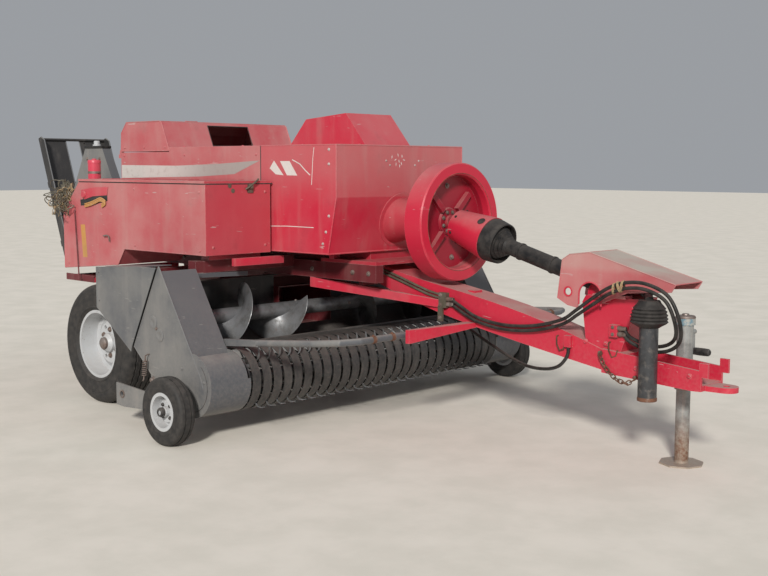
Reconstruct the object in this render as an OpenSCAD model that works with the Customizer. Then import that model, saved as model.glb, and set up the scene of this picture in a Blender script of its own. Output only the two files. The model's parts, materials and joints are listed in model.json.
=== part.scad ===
// Towed in-line small square baler, standing on its wheels, gauge wheels and tongue jack.
// Lengths run along X with +X towards the hitch, +Y is the machine's left, +Z is up.
// Every x value below is measured forward of the main axle; at_axle() shifts it to the part's frame.

/* [Running gear] */
// Radius of the main tyres
tyre_r = 372; // [340:1:400]
// Width of the main tyres
tyre_w = 240; // [200:5:280]
// Radius of the main wheel rim flanges
rim_r = 213; // [190:1:230]
// Half of the track between the main tyre centres
track_half = 1007; // [960:1:1060]
// Radius of the main wheel spindles
spindle_r = 25; // [20:1:32]
// Side of the square axle tube
axle_tube = 90; // [70:5:110]
// Radius of the gauge wheel tyres
gauge_r = 184; // [170:1:195]
// Width of the gauge wheel tyres
gauge_w = 100; // [80:5:115]
// Forward place of the gauge wheels
gauge_x = 1224; // [1180:1:1260]
// Sideways place of the gauge wheel centres
gauge_y = 1440; // [1425:1:1480]

/* [Bale case] */
// Clear width inside the bale case
case_in_w = 457; // [420:1:480]
// Clear height inside the bale case
case_in_h = 356; // [330:1:380]
// Height of the bale case floor above ground
case_floor = 862; // [850:1:880]
// Wall thickness of the bale case
case_wall = 6; // [4:1:8]
// Distance of the bale outlet behind the axle
case_rear = 1690; // [1500:5:1750]
// Forward end of the bale case
case_front = 1150; // [1100:5:1170]
// Width of the frame rails beside the case
rail_w = 60; // [50:1:70]
// Height of the frame rails
rail_h = 100; // [80:1:110]

/* [Hoods and boxes] */
// Half width of the upper body panels
body_half = 536; // [520:1:545]
// Height of the flat roof
roof_z = 1600; // [1580:1:1620]
// Forward face of the front shield
shield_x = 1565; // [1540:1:1580]
// Lower edge height of the front shield
shield_z = 985; // [970:1:1010]
// Height of the crease across the front shield
crease_z = 1304; // [1280:1:1330]
// Thickness of the cover sheets
sheet = 4; // [3:0.5:6]
// Top height of the knotter hood
knotter_top = 1772; // [1740:1:1800]
// Rear edge of the knotter hood, behind the axle
knotter_rear = 578; // [560:1:600]
// Top height of the front hood
hood_top = 1792; // [1760:1:1810]
// Half width of the front hood
hood_half = 190; // [170:1:220]
// Outer face of the twine boxes
box_out = 1030; // [1000:1:1060]
// Top height of the twine boxes
box_top = 1380; // [1360:1:1395]
// Forward face of the twine boxes
box_front = 1025; // [1000:1:1040]

/* [Drive] */
// Height of the flywheel axis
fly_z = 1168; // [1150:1:1190]
// Flywheel radius
fly_r = 333; // [300:1:345]
// Flywheel rim thickness along the shaft
fly_t = 128; // [100:1:140]
// Forward face of the flywheel
fly_x = 2017; // [2000:1:2040]
// Radius of the drive shaft that carries the flywheel
shaft_r = 35; // [30:1:40]
// Radius of the driveline guard tube
guard_r = 43; // [38:1:48]

/* [Tongue] */
// Forward place of the hitch pin
hitch_x = 3665; // [3620:5:3700]
// Radius of the hitch pin hole
hitch_r = 16.5; // [14:0.5:20]
// Width of the tongue beam
tongue_w = 180; // [160:2:200]
// Radius of the jack tube
jack_r = 41; // [36:1:46]
// Forward place of the jack
jack_x = 3355; // [3320:5:3380]

/* [Pickup] */
// Forward place of the pickup pivot
pivot_x = 943; // [930:1:955]
// Height of the pickup pivot
pivot_z = 567; // [555:1:580]
// Forward place of the tine reel axis
reel_x = 1270; // [1260:1:1290]
// Height of the tine reel axis
reel_z = 310; // [305:1:325]
// Outer radius of the stripper bands
band_r = 175; // [165:1:185]
// Radius of the tine tips
tine_r = 235; // [220:1:240]
// Number of stripper bands
bands = 28; // [24:1:30]
// Width of one stripper band
band_w = 55; // [48:1:58]
// Half width between the pickup end plates
pickup_half = 1075; // [1050:5:1090]
// Outer face of the grey end panels
panel_out = 1334; // [1325:1:1345]
// Forward place of the cross auger
auger_x = 860; // [850:1:865]
// Height of the cross auger
auger_z = 600; // [595:1:610]
// Radius of the auger flights
auger_r = 185; // [170:1:188]

/* [Chute] */
// Length of the bale chute
chute_len = 1026; // [900:2:1200]
// Lean of the folded chute behind upright, in degrees
chute_lean = 21; // [16:1:30]
// Half width of the bale chute over its side plates
chute_half = 295; // [290:1:300]
// Width of each of the chute's two floor runners
runner_w = 235; // [200:5:260]
// Height of the chute's side plates above its floor
chute_side = 80; // [60:5:100]

/* [Hidden] */
fit = 0.05;
case_y = case_in_w / 2 + case_wall;
case_top = case_floor + case_in_h;
rail_y = case_y + 2;
rail_out = rail_y + rail_w;
rail_z = case_floor - 47;
rail_top = rail_z + rail_h;
axle_z = tyre_r;
hitch_eye = 55;
chute_z = case_floor - 112;
chute_bar = 45; // from the chute's pivot back to the underside of its floor
chute_x = -case_rear - 30;
chute_pin_r = 12;
rib = 40; // depth of the frames round the bale case
chute_tip = case_rear + 30 + chute_len * sin(chute_lean) + chute_bar * cos(chute_lean);
axle_x = (chute_tip - hitch_x - hitch_eye) / 2;
panel_in = panel_out - 12;
tongue_half = tongue_w / 2;
beam_wide = 105; // half width of the channel drawbar
channel_end = hitch_x - 75;
foot_r = 112; // corner radius of the jack's eight-sided foot
guard_hinge = [1225, 512]; // hinge of the wind guard on the pickup, x and z
guard_pipe = [2090, 588]; // cross pipe of the wind guard, x and z
guard_pipe_r = 18;
pipe_half = 845;
rod_r = 5;
hinge_pin_r = 9;
arm_mid = pickup_half - 17.5; // middle plane of the guard's flat arms
hook_y = 548;
tine_half = pickup_half - 35;

// Shared helpers
module at_axle() translate([axle_x, 0, 0]) children();
module on_side(s) mirror([0, s < 0 ? 1 : 0, 0]) children();
module plate_xz(y0, y1) translate([0, y1, 0]) rotate([90, 0, 0]) linear_extrude(y1 - y0) children();
module bar_y(y0, y1, x, z, r) translate([x, y0, z]) rotate([-90, 0, 0])
    cylinder(r = r, h = y1 - y0, $fn = 48);
module bar_x(x0, x1, y, z, r) translate([x0, y, z]) rotate([0, 90, 0]) cylinder(r = r, h = x1 - x0, $fn = 32);
module block(x0, x1, y0, y1, z0, z1) translate([x0, y0, z0]) cube([x1 - x0, y1 - y0, z1 - z0]);
module block_sides(x0, x1, y0, y1, z0, z1) for (s = [-1, 1]) on_side(s) block(x0, x1, y0, y1, z0, z1);
module link(a, b, r) {
    d = b - a;
    translate(a) rotate([0, acos(d[2] / norm(d)), atan2(d[1], d[0])]) cylinder(r = r, h = norm(d), $fn = 32);
}
function bez(p, t) = pow(1 - t, 3) * p[0] + 3 * t * pow(1 - t, 2) * p[1]
    + 3 * t * t * (1 - t) * p[2] + pow(t, 3) * p[3];
function arc(cx, cz, r, a0, a1, n) = [for (i = [0:n]) let (a = a0 + (a1 - a0) * i / n)
    [cx + r * cos(a), cz + r * sin(a)]];

// Sweeps a round tube along a smooth route through hand-chosen points
function spot(p, i) = p[max(0, min(len(p) - 1, i))];
function spline(p, i, t) = let (a = spot(p, i - 1), b = p[i], c = p[i + 1], d = spot(p, i + 2))
    0.5 * (2 * b + (c - a) * t + (2 * a - 5 * b + 4 * c - d) * t * t
        + (3 * b - a - 3 * c + d) * t * t * t);
function route(p, m) = [for (i = [0:len(p) - 2]) for (j = [0:m - 1]) spline(p, i, j / m), p[len(p) - 1]];
function unit(v) = v / norm(v);
function tangent(q, i) = unit(spot(q, i + 1) - spot(q, i - 1));
module tube_along(p, r, m) {
    q = route(p, m);
    sides = 8;
    pts = [for (i = [0:len(q) - 1])
        let (t = tangent(q, i), u = unit(cross(t, [0.1, 1, 0.2])), v = cross(t, u))
        for (k = [0:sides - 1]) q[i] + r * (cos(360 * k / sides) * u + sin(360 * k / sides) * v)];
    n = len(q);
    walls = [for (i = [0:n - 2]) for (k = [0:sides - 1]) let (k2 = (k + 1) % sides)
        [i * sides + k2, i * sides + k, (i + 1) * sides + k, (i + 1) * sides + k2]];
    caps = [[for (k = [0:sides - 1]) k], [for (k = [sides - 1:-1:0]) (n - 1) * sides + k]];
    polyhedron(points = pts, faces = concat(walls, caps), convexity = 6);
}

// Running gear
module axle_beam() {
    color("firebrick") at_axle() {
        half = track_half - 150;
        block(-axle_tube / 2, axle_tube / 2, -half, half, axle_z - axle_tube / 2, axle_z + axle_tube / 2);
        for (s = [-1, 1]) on_side(s) {
            bar_y(half, track_half + 30, 0, axle_z, spindle_r);
            plate_xz(rail_y, rail_out) polygon([[-90, axle_z + axle_tube / 2], [90, axle_z + axle_tube / 2],
                [210, rail_z], [-210, rail_z]]);
        }
    }
}

bead_gap = 0.3;
main_rim_w = 200;
rim_lip = 12;
module tyre_shape(r, w, rim, rim_w) {
    shoulder = w * 0.22;
    bead = rim_w / 2 - rim_lip - bead_gap;
    half = [[rim - rim_lip, bead], [rim + bead_gap, bead + rim_lip / 2], [rim + bead_gap, rim_w / 2],
        [rim + 14, w / 2 - 5], [(rim + r) / 2 - 10, w / 2]];
    side = [for (a = [0:10:90]) [r - shoulder + shoulder * sin(a), w / 2 - shoulder + shoulder * cos(a)]];
    upper = concat(half, side);
    lower = [for (i = [len(upper) - 1:-1:0]) [upper[i][0], -upper[i][1]]];
    rotate_extrude($fn = 96) polygon(concat(upper, lower));
}
module main_tyre() difference() {
    tyre_shape(tyre_r, tyre_w, rim_r, main_rim_w);
    for (z = [-60, -20, 20, 60]) translate([0, 0, z]) rotate_extrude($fn = 96)
        translate([tyre_r - 9, -6]) square([20, 12]);
}
module rim_shape(r, w, hub_r, dish, bore, hub_len) {
    seat = r - rim_lip - bead_gap;
    rotate_extrude($fn = 96) difference() {
        union() {
            polygon([[seat - 6, -w / 2], [r, -w / 2], [r, -w / 2 + 6], [seat, -w / 2 + rim_lip],
                [seat, w / 2 - rim_lip], [r, w / 2 - 6], [r, w / 2], [seat - 6, w / 2]]);
            polygon([[hub_r, dish - 6], [seat * 0.62, dish - 6], [seat * 0.78, dish - 26],
                [seat - 1, dish - 26], [seat - 1, dish - 18], [seat * 0.8, dish - 18],
                [seat * 0.64, dish + 4], [hub_r, dish + 4]]);
            polygon([[0, dish - hub_len], [hub_r, dish - hub_len], [hub_r, dish + 25],
                [hub_r * 0.7, dish + 45], [0, dish + 45]]);
        }
        translate([-1, dish - hub_len - 1]) square([bore + 1, hub_len + 31]);
    }
}
module wheel_at(s, x, y, z) at_axle() on_side(s) translate([x, y, z]) rotate([-90, 0, 0]) children();
module main_rim() difference() {
    rim_shape(rim_r, main_rim_w, 58, 5, spindle_r + fit, 80);
    for (a = [0:60:300]) rotate([0, 0, a]) translate([105, 0, -40]) cylinder(r = 12, h = 80, $fn = 24);
}
module tyre_right() color("dimgray") wheel_at(-1, 0, track_half, axle_z) main_tyre();
module tyre_left() color("dimgray") wheel_at(1, 0, track_half, axle_z) main_tyre();
module rim_right() color("silver") wheel_at(-1, 0, track_half, axle_z) main_rim();
module rim_left() color("silver") wheel_at(1, 0, track_half, axle_z) main_rim();

gauge_rim_r = 104;
gauge_rim_w = 86;
gauge_pin_r = 12.5;
module gauge_tyre() tyre_shape(gauge_r, gauge_w, gauge_rim_r, gauge_rim_w);
module gauge_rim() rim_shape(gauge_rim_r, gauge_rim_w, 28, 5, gauge_pin_r + fit, 45);
module gauge_tyre_right() color("dimgray") wheel_at(-1, gauge_x, gauge_y, gauge_r) gauge_tyre();
module gauge_tyre_left() color("dimgray") wheel_at(1, gauge_x, gauge_y, gauge_r) gauge_tyre();
module gauge_rim_right() color("whitesmoke") wheel_at(-1, gauge_x, gauge_y, gauge_r) gauge_rim();
module gauge_rim_left() color("whitesmoke") wheel_at(1, gauge_x, gauge_y, gauge_r) gauge_rim();

// Bale case and frame
case_slots = [[-1520, 760], [-720, 560], [-100, 420]]; // start and length of each side slot
module bale_case() {
    color("firebrick") at_axle() difference() {
        union() {
            block(-case_rear, case_front, -case_y, case_y, case_floor - case_wall, case_top + case_wall);
            for (x = [-case_rear, -960, -560, -180]) difference() {
                block(x, x + 40, -case_y - rib, case_y + rib, rail_top + 4, case_top + case_wall + 30);
                block(x - 1, x + 41, -case_y + 1, case_y - 1, rail_top, case_top);
            }
        }
        block(-case_rear - 1, case_front - 20, -case_in_w / 2, case_in_w / 2, case_floor, case_top);
        for (row = case_slots) for (z = [case_floor + 120, case_floor + 215])
            block(row[0], row[0] + row[1], -case_y - 1, case_y + 1, z, z + 26);
        for (y = [-95, 75])
            block(-560, -160, y, y + 20, case_floor - case_wall - 1, case_top + case_wall + 1);
        block(160, 540, -case_in_w / 2, case_in_w / 2, case_floor - case_wall - 1, case_floor + 1);
    }
    bracket_y = case_y + rib - 0.5;
    color("firebrick") at_axle() for (s = [-1, 1]) on_side(s) difference() {
        plate_xz(bracket_y, bracket_y + 10) polygon([[-case_rear, rail_top + 80],
            [-case_rear + 40, rail_top + 80], [-case_rear + 60, chute_z + 50],
            [-case_rear - 10, chute_z - 22], [chute_x - 22, chute_z - 22],
            [chute_x - 22, chute_z + 22], [-case_rear, chute_z + 60]]);
        bar_y(bracket_y - 1, bracket_y + 11, chute_x, chute_z, chute_pin_r + fit);
    }
}

module main_frame() {
    color("firebrick") at_axle() {
        block_sides(-1150, 1640, rail_y, rail_out, rail_z, rail_top);
        block(1440, 1470, -rail_y, rail_y, rail_z - 30, rail_top);
        block(-1130, -1070, -rail_y, rail_y, rail_z - 40, case_floor - case_wall);
        block(600, 640, -rail_y, rail_y, rail_z, case_floor - case_wall);
        block_sides(860, 930, rail_out, feeder_y - 20, rail_top - 45, rail_top + 25);
        block_sides(400, 460, rail_out, panel_out - 4.3, rail_z, rail_z + 50);
    }
}

// Drive
module gearbox() {
    color("maroon") at_axle() {
        block(1180, 1640, -rail_out, rail_out, rail_top, rail_top + 20);
        block(1180, 1480, -180, 180, rail_top + 20, 1380);
        translate([1480, 0, fly_z]) rotate([0, 90, 0]) cylinder(r1 = 150, r2 = 90, h = 220, $fn = 64);
        translate([1700, 0, fly_z]) rotate([0, 90, 0]) cylinder(r = 90, h = 160, $fn = 64);
        translate([1860, 0, fly_z]) rotate([0, 90, 0]) cylinder(r = shaft_r, h = 90, $fn = 48);
    }
}
module flywheel() {
    color("crimson") at_axle() translate([fly_x - fly_t, 0, fly_z]) rotate([0, 90, 0]) {
        rotate_extrude($fn = 128) difference() {
            polygon([[0, 10], [70, 10], [80, 10], [fly_r - 75, 24], [fly_r - 68, 6],
                [fly_r - 6, 0], [fly_r, 6], [fly_r, fly_t - 6], [fly_r - 6, fly_t], [fly_r - 60, fly_t],
                [fly_r - 68, fly_t - 8], [fly_r - 72, 44], [80, 34], [75, 46], [0, 46]]);
            square([shaft_r + fit, 100]);
        }
        for (a = [45:90:315]) rotate([0, 0, a]) translate([90, -16, 30]) cube([130, 32, 34]);
    }
}
pto_drop = 15.5;
module along_pto() at_axle() translate([2950, 0, 885]) rotate([0, -90 + pto_drop, 0]) children();
module clutch_guard() color("crimson") along_pto() rotate_extrude($fn = 64)
    polygon([[118, 735], [124, 735], [90, 985], [84, 985]]);
module pto_rear() {
    cone_slope = (112 - guard_r) / 110;
    color("#26282a") {
        along_pto() {
            cylinder(r = guard_r, h = 640, $fn = 48);
            rotate_extrude($fn = 64) union() {
                polygon([[0, 640], [guard_r, 590], [112, 700], [120, 720], [120, 734.7], [0, 734.7]]);
                for (z = [600:18:690])
                    translate([guard_r + (z - 590) * cone_slope - 3, z]) square([9, 7]);
            }
            translate([0, 0, 734]) cylinder(r = 30, h = 200, $fn = 32);
        }
        at_axle() block(2925, 3010, -55, 55, 835.3, 928);
    }
}

// Tongue, post, cover, jack
beam_top = [[1470, 900], [1960, 785], [2420, 780], [3060, 560]];
beam_bottom = [[1470, 785], [1900, 640], [2420, 560], [3060, 462]];
module tongue_beam() {
    steps = 14;
    plate_xz(-tongue_half, tongue_half) polygon(concat([for (i = [0:steps]) bez(beam_top, i / steps)],
        [for (i = [steps:-1:0]) bez(beam_bottom, i / steps)]));
    plate_xz(-beam_wide, beam_wide) polygon([[3040, 455], [hitch_x - 125, 430], [channel_end, 432],
        [channel_end, 530], [3200, 562], [3040, 575]]);
}
module tongue() {
    color("crimson") at_axle() {
        difference() {
            union() {
                tongue_beam();
                block_sides(channel_end - 12, channel_end + 34, beam_wide - 12, beam_wide, 500, 568);
                hull() {
                    block(hitch_x - 185, hitch_x - 165, -70, 70, 430, 456);
                    translate([hitch_x, 0, 430]) cylinder(r = hitch_eye, h = 26, $fn = 64);
                }
            }
            plate_xz(12 - beam_wide, beam_wide - 12) polygon([[3180, 465], [channel_end + 40, 458],
                [channel_end + 40, 580], [3180, 580]]);
            translate([hitch_x, 0, 400]) cylinder(r = hitch_r, h = 100, $fn = 64);
        }
        block(2815, 2855, -112, -tongue_half, 560, 620);
        block(2105, 2152, -34, 34, 730, 792);
    }
}
module brace() {
    hull() {
        block(1080, 1100, rail_y, rail_out, 755, rail_z - 0.3);
        block(1900, 1950, tongue_half + 0.3, tongue_half + 12, 688, 730);
    }
}
module brace_right() color("crimson") at_axle() on_side(-1) brace();
module brace_left() color("crimson") at_axle() on_side(1) brace();
module guard_hook() {
    front = guard_pipe[0] + guard_pipe_r + 16;
    color("crimson") at_axle() hull() {
        block(2150, 2215, -tongue_half - 12, -tongue_half - 0.3, 598, 625);
        block(front, front + 26, -hook_y - 14, -hook_y, 550, 622);
    }
}
module pto_post() {
    color("crimson") at_axle() difference() {
        union() {
            plate_xz(-85, 85) polygon([[2940, 520], [3120, 520], [3236, 835], [2925, 835], [2905, 800]]);
            block(3085, 3129.7, -112, -80, 642, 702);
            plate_xz(-59.5, -55.5) hull() {
                translate(cover_arch + [0, 5]) circle(r = 58, $fn = 64);
                translate(cover_arch - [58, 60]) square([116, 10]);
            }
        }
        tongue_beam();
    }
}
cover_arch = [2977, 840]; // centre of the arch in the cover's right side, x and z
module pto_cover() {
    color("indianred") at_axle() difference() {
        plate_xz(-125, 125) polygon([[2780, 810], [2806, 1012], [2850, 1040], [2968, 1056], [3453, 927],
            [3433, 892], [3300, 880], [3200, 870], [2952, 763], [2842, 779]]);
        plate_xz(-121, 121) polygon([[2700, 700], [2700, 960], [2810, 1008], [2852, 1036], [2966, 1052],
            [3500, 908], [3500, 700]]);
        bar_y(-130, 130, 2845, 850, 18);
        plate_xz(-130, -118) {
            translate(cover_arch) circle(r = 70, $fn = 64);
            translate(cover_arch - [70, 140]) square([140, 140]);
        }
    }
    color("indianred") at_axle() block_sides(2990, 3180, 60, 122, 835.3, 850);
}
module jack() {
    jack_y = beam_wide + jack_r + 6;
    color("slategray") at_axle() translate([jack_x, jack_y, 0]) {
        cylinder(r = foot_r, h = 8, $fn = 8);
        translate([0, 0, 7]) cylinder(r = jack_r - 6, h = 393, $fn = 48);
        translate([0, 0, 380]) cylinder(r = jack_r, h = 325, $fn = 48);
        translate([0, 0, 704]) cylinder(r = jack_r + 8, h = 34, $fn = 48);
        translate([0, 0, 660]) rotate([-90, 0, 0]) cylinder(r = 12, h = 95, $fn = 32);
        translate([0, 84, 560]) cylinder(r = 8, h = 112, $fn = 32);
        translate([-6, 84, 562]) rotate([0, 90, 0]) cylinder(r = 15, h = 96, $fn = 32);
        translate([-60, beam_wide + 0.3 - jack_y, 470]) cube([120, 20, 55]);
    }
}

// Hanging front driveline half
front_pto = [jack_x - 10, -172];
module pto_front() {
    color("#26282a") at_axle() {
        translate([front_pto[0], front_pto[1], 0]) rotate_extrude($fn = 64) union() {
            difference() {
                translate([0, 365]) square([54, 375]);
                translate([0, 360]) square([30, 60]);
            }
            polygon([[0, 720], [60, 720], [96, 744], [100, 760], [92, 800], [60, 850], [0, 850]]);
            for (z = [748:18:802]) translate([78, z]) square([27 - (z - 748) / 6, 8]);
        }
        link([front_pto[0], front_pto[1], 845], [3262, -60, 872], 22);
        translate([3262, -60, 872]) sphere(r = 32, $fn = 32);
        link([3262, -60, 872], [3150, 0, 882], 22);
        translate([3150, 0, 882]) sphere(r = 32, $fn = 32);
        link([3150, 0, 882], [3010.3, 0, 882], 24);
    }
}

// Upper body
module front_shield() {
    color("crimson") at_axle() difference() {
        plate_xz(-body_half, body_half) polygon([[912, 979], [shield_x - 70, shield_z], [shield_x, crease_z],
            [shield_x, roof_z], [912, roof_z]]);
        plate_xz(-body_half + sheet, body_half - sheet) polygon([[900, 900], [shield_x - 70 - sheet, 900],
            [shield_x - 70 - sheet, shield_z], [shield_x - sheet, crease_z],
            [shield_x - sheet, roof_z - sheet],
            [900, roof_z - sheet]]);
        translate([1400, 0, fly_z]) rotate([0, 90, 0]) cylinder(r = 150, h = 300, $fn = 64);
    }
    color("crimson") at_axle() {
        block_sides(1250, 1290, rail_y + 10, rail_out, rail_top + 20.3, 1010);
        block_sides(1250, 1290, rail_y + 10, body_half - sheet, 1004, 1010);
    }
}
hood_gap = 6;
hood_rear_z = hood_top - 0.146 * (hood_top - roof_z); // roof line of the front hood at its rear edge
lug_in = body_half - 32; // inner face of the knotter hood's lugs and pins
hood_pin = [-knotter_rear - 20, 1575]; // hinge axis of the knotter hood, x and z
module upper_body() {
    front = 911.7;
    color("indianred") at_axle() {
        difference() {
            block(-knotter_rear, front, -body_half, body_half, 1050, roof_z);
            block(-knotter_rear - 1, front + 1, -body_half + sheet, body_half - sheet, 1049, roof_z - sheet);
            block(-knotter_rear - 1, -22 + hood_gap, -body_half - 1, body_half + 1, hood_pin[1] - hood_gap,
                roof_z + 1);
        }
        block_sides(-560, -520, case_y + 40.3, body_half - sheet, 1180, 1210);
        block_sides(700, 740, case_y + 0.3, body_half - sheet, 1180, 1210);
        block_sides(hood_pin[0] - 12, -knotter_rear + 18, lug_in + 16, body_half - 1,
            hood_pin[1] - 45, hood_pin[1] - 19);
        for (s = [-1, 1]) on_side(s) plate_xz(lug_in + 16, lug_in + 22) {
            translate(hood_pin) circle(r = 12, $fn = 48);
            translate([hood_pin[0] - 12, hood_pin[1] - 35]) square([24, 35]);
        }
        for (s = [-1, 1]) on_side(s) bar_y(lug_in, lug_in + 17, hood_pin[0], hood_pin[1], 6);
    }
}
module front_hood() {
    color("crimson") at_axle() difference() {
        plate_xz(-hood_half, hood_half) polygon([[775, roof_z + 0.3], [1450, roof_z + 0.3], [1283, hood_top],
            [930, hood_rear_z]]);
        plate_xz(-hood_half + sheet, hood_half - sheet) polygon([[782, roof_z - 1], [1444, roof_z - 1],
            [1281, hood_top - sheet], [932, hood_rear_z - sheet]]);
    }
}
module knotter_hood() {
    rear = -knotter_rear;
    color("indianred") at_axle() {
        difference() {
            plate_xz(-body_half, body_half) polygon([[rear, hood_pin[1]], [-22, hood_pin[1]],
                [-22, roof_z - 8],
                [-100, knotter_top - 8], [-122, knotter_top], [-508, knotter_top],
                [rear + 8, knotter_top - 72]]);
            plate_xz(-body_half + sheet, body_half - sheet) polygon([[rear + sheet, 1500], [-26, 1500],
                [-26, roof_z - 10], [-103, knotter_top - 10], [-124, knotter_top - sheet],
                [-507, knotter_top - sheet], [rear + 12, knotter_top - 74]]);
            block(-200, 0, -170, 175, roof_z + 12, knotter_top - 24);
        }
        for (s = [-1, 1]) on_side(s) difference() {
            plate_xz(lug_in + 2, lug_in + 12) {
                translate(hood_pin) circle(r = 12, $fn = 48);
                polygon([hood_pin + [0, -12], hood_pin + [18, 2], [rear + 3, 1580], [rear + 3, 1620],
                    hood_pin + [0, 12]]);
            }
            bar_y(lug_in - 4, lug_in + 16, hood_pin[0], hood_pin[1], 6 + fit);
        }
    }
}
knot_z = 1502;
module knotters() {
    base = case_top + case_wall + 0.3;
    color("#3a3c3e") at_axle() {
        block_sides(-420, -200, 200, 212, base, knot_z + 30);
        bar_y(-400, 400, -300, knot_z, 22);
        for (y = [-85, 85]) {
            bar_y(y - 14, y + 14, -300, knot_z, 95);
            bar_y(y + 22, y + 40, -300, knot_z, 70);
            plate_xz(y - 50, y - 38) polygon([[-380, base], [-220, base], [-270, knot_z + 40],
                [-330, knot_z + 40]]);
        }
        bar_y(330, 350, -300, knot_z, 100);
        bar_y(-350, -330, -300, knot_z, 70);
    }
}
module needles() {
    color("firebrick") at_axle() {
        bar_y(-rail_y + 0.3, rail_y - 0.3, -60, 600, 24);
        for (y = [-85, 85]) {
            plate_xz(y - 7, y + 7) polygon(concat(arc(-210, 760, 195, 190, 318, 12),
                arc(-210, 760, 155, 318, 190, 12)));
            link([-60, y, 600], [-95, y, 652], 14);
        }
    }
}

// Twine boxes with hinged lids
box_in = body_half + 24;
box_side = [[-500, 816], [130, 872], [205, 972], [box_front, 975], [box_front, box_top], [-300, box_top],
    [-385, 1290], [-500, 1180]];
lid_knuckles = [-180, 620]; // rear ends of the lid's hinge knuckles
lid_pin = [box_in - 12, box_top + 7]; // hinge axis of the lid, y and z
lid_pin_r = 3;
module twine_box() {
    difference() {
        plate_xz(box_in, box_out) polygon(box_side);
        plate_xz(box_in + sheet, box_out - sheet) polygon([[-496, 822], [128, 877], [203, 977],
            [box_front - sheet, 979], [box_front - sheet, box_top + 5], [-296, box_top + 5], [-381, 1288],
            [-496, 1176]]);
    }
    for (x = lid_knuckles) {
        bar_x(x - 12, x + 92, lid_pin[0], lid_pin[1], lid_pin_r);
        for (dx = [-12, 81]) {
            block(x + dx, x + dx + 11, lid_pin[0] - 5, box_in + 1, box_top - 60, box_top - 0.3);
            block(x + dx, x + dx + 11, lid_pin[0] - 5, lid_pin[0] + 5, box_top - 60, lid_pin[1] + 5);
        }
    }
    block(860, 930, box_in, box_out - 90, rail_top + 25.3, 975);
    for (x = [-300, 700]) block(x, x + 40, body_half + 0.3, box_in, 1200, 1240);
}
module twine_box_right() color("indianred") at_axle() on_side(-1) twine_box();
module twine_box_left() color("indianred") at_axle() on_side(1) twine_box();
module twine_lid() {
    difference() {
        for (x = lid_knuckles) {
            bar_x(x, x + 80, lid_pin[0], lid_pin[1], 7);
            block(x, x + 80, lid_pin[0], box_in - 3, lid_pin[1] - 3, lid_pin[1] + 3);
        }
        for (x = lid_knuckles) bar_x(x - 1, x + 81, lid_pin[0], lid_pin[1], lid_pin_r + fit);
    }
    translate([0, 0, box_top + 0.3]) difference() {
        block(-300, box_front + 2, box_in - 4, box_out + 8, 0, 14);
        block(-296, box_front - 2, box_in + 6, box_out - 2, -1, 10);
    }
}
module twine_lid_right() color("brown") at_axle() on_side(-1) twine_lid();
module twine_lid_left() color("brown") at_axle() on_side(1) twine_lid();

// Grey rear side panels beside the pickup, carried by the frame
module side_guard() {
    plate_xz(panel_out - 4, panel_out) polygon([[369, 891], [800, 918], [971, 921], [727, 463], [718, 433],
        [369, 656]]);
    plate_xz(1105, panel_out - 4) polygon([[373, 886], [800, 913], [800, 918], [373, 891]]);
}
module side_guard_right() color("gray") at_axle() on_side(-1) side_guard();
module side_guard_left() color("gray") at_axle() on_side(1) side_guard();

// Feeder
auger_half = pickup_half - 35;
feeder_y = pickup_half - 23;
pan_r = auger_r + 18;
module feeder_pan() {
    color("#44474a") at_axle() {
        difference() {
            plate_xz(-feeder_y, feeder_y) polygon(concat(arc(auger_x, auger_z, pan_r, -180, -50, 16),
                arc(auger_x, auger_z, pan_r + 4, -50, -180, 16)));
            block(600, 705, -228, 228, 380, 900);
        }
        for (s = [-1, 1]) on_side(s) {
            block(auger_x - pan_r - 4, auger_x - pan_r, 228, feeder_y, auger_z, 795);
            block(auger_x - pan_r - 4, auger_x - pan_r + 46, 228, feeder_y, 795, 799);
            difference() {
                plate_xz(feeder_y, feeder_y + 6) polygon([[640, 420], [860, 380], [1000, 430], [1000, 640],
                    [930, rail_top - 46], [860, rail_top - 46], [640, 799]]);
                bar_y(feeder_y - 1, feeder_y + 10, auger_x, auger_z, 25 + fit);
            }
            bar_y(feeder_y + 6, pickup_half + 30, pivot_x, pivot_z, 20);
            block(862, 928, feeder_y - 110, feeder_y + 6, rail_top - 49, rail_top - 45.3);
        }
    }
}
module feeder_duct() {
    inner = case_in_w / 2 - 2;
    color("firebrick") at_axle() difference() {
        plate_xz(-inner, inner) polygon([[704, 466], [600, 440], [440, 440], [222, 556], [144, 855.7],
            [556, 855.7], [560, 766], [650, 720], [704, 720]]);
        plate_xz(-inner + 4, inner - 4) polygon([[710, 472], [600, 446], [442, 446], [228, 560], [150, 860],
            [550, 860], [554, 762], [648, 714], [710, 714]]);
    }
}
flight_turns = 1.5;
flight_steps = 30;
flight_t = 7;
module flight() {
    pts = [for (i = [0:flight_steps]) let (a = 360 * flight_turns * i / flight_steps,
        y = (auger_half - 290) * i / flight_steps)
        for (c = [[40, 0], [auger_r, 0], [auger_r, flight_t], [40, flight_t]])
        [c[0] * cos(a), y + c[1], c[0] * sin(a)]];
    walls = [for (i = [0:flight_steps - 1]) for (k = [0:3]) let (k2 = (k + 1) % 4)
        for (f = [[i * 4 + k, i * 4 + 4 + k, i * 4 + 4 + k2], [i * 4 + k, i * 4 + 4 + k2, i * 4 + k2]]) f];
    last = flight_steps * 4;
    polyhedron(points = pts, faces = concat(walls, [[0, 1, 2, 3], [last + 3, last + 2, last + 1, last]]),
        convexity = 8);
}
module auger() {
    color("lightslategray") at_axle() {
        bar_y(-feeder_y - 6, feeder_y + 6, auger_x, auger_z, 25);
        bar_y(-auger_half, auger_half, auger_x, auger_z, 45);
        for (s = [-1, 1]) on_side(s) translate([auger_x, 260, auger_z]) flight();
    }
}

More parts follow.
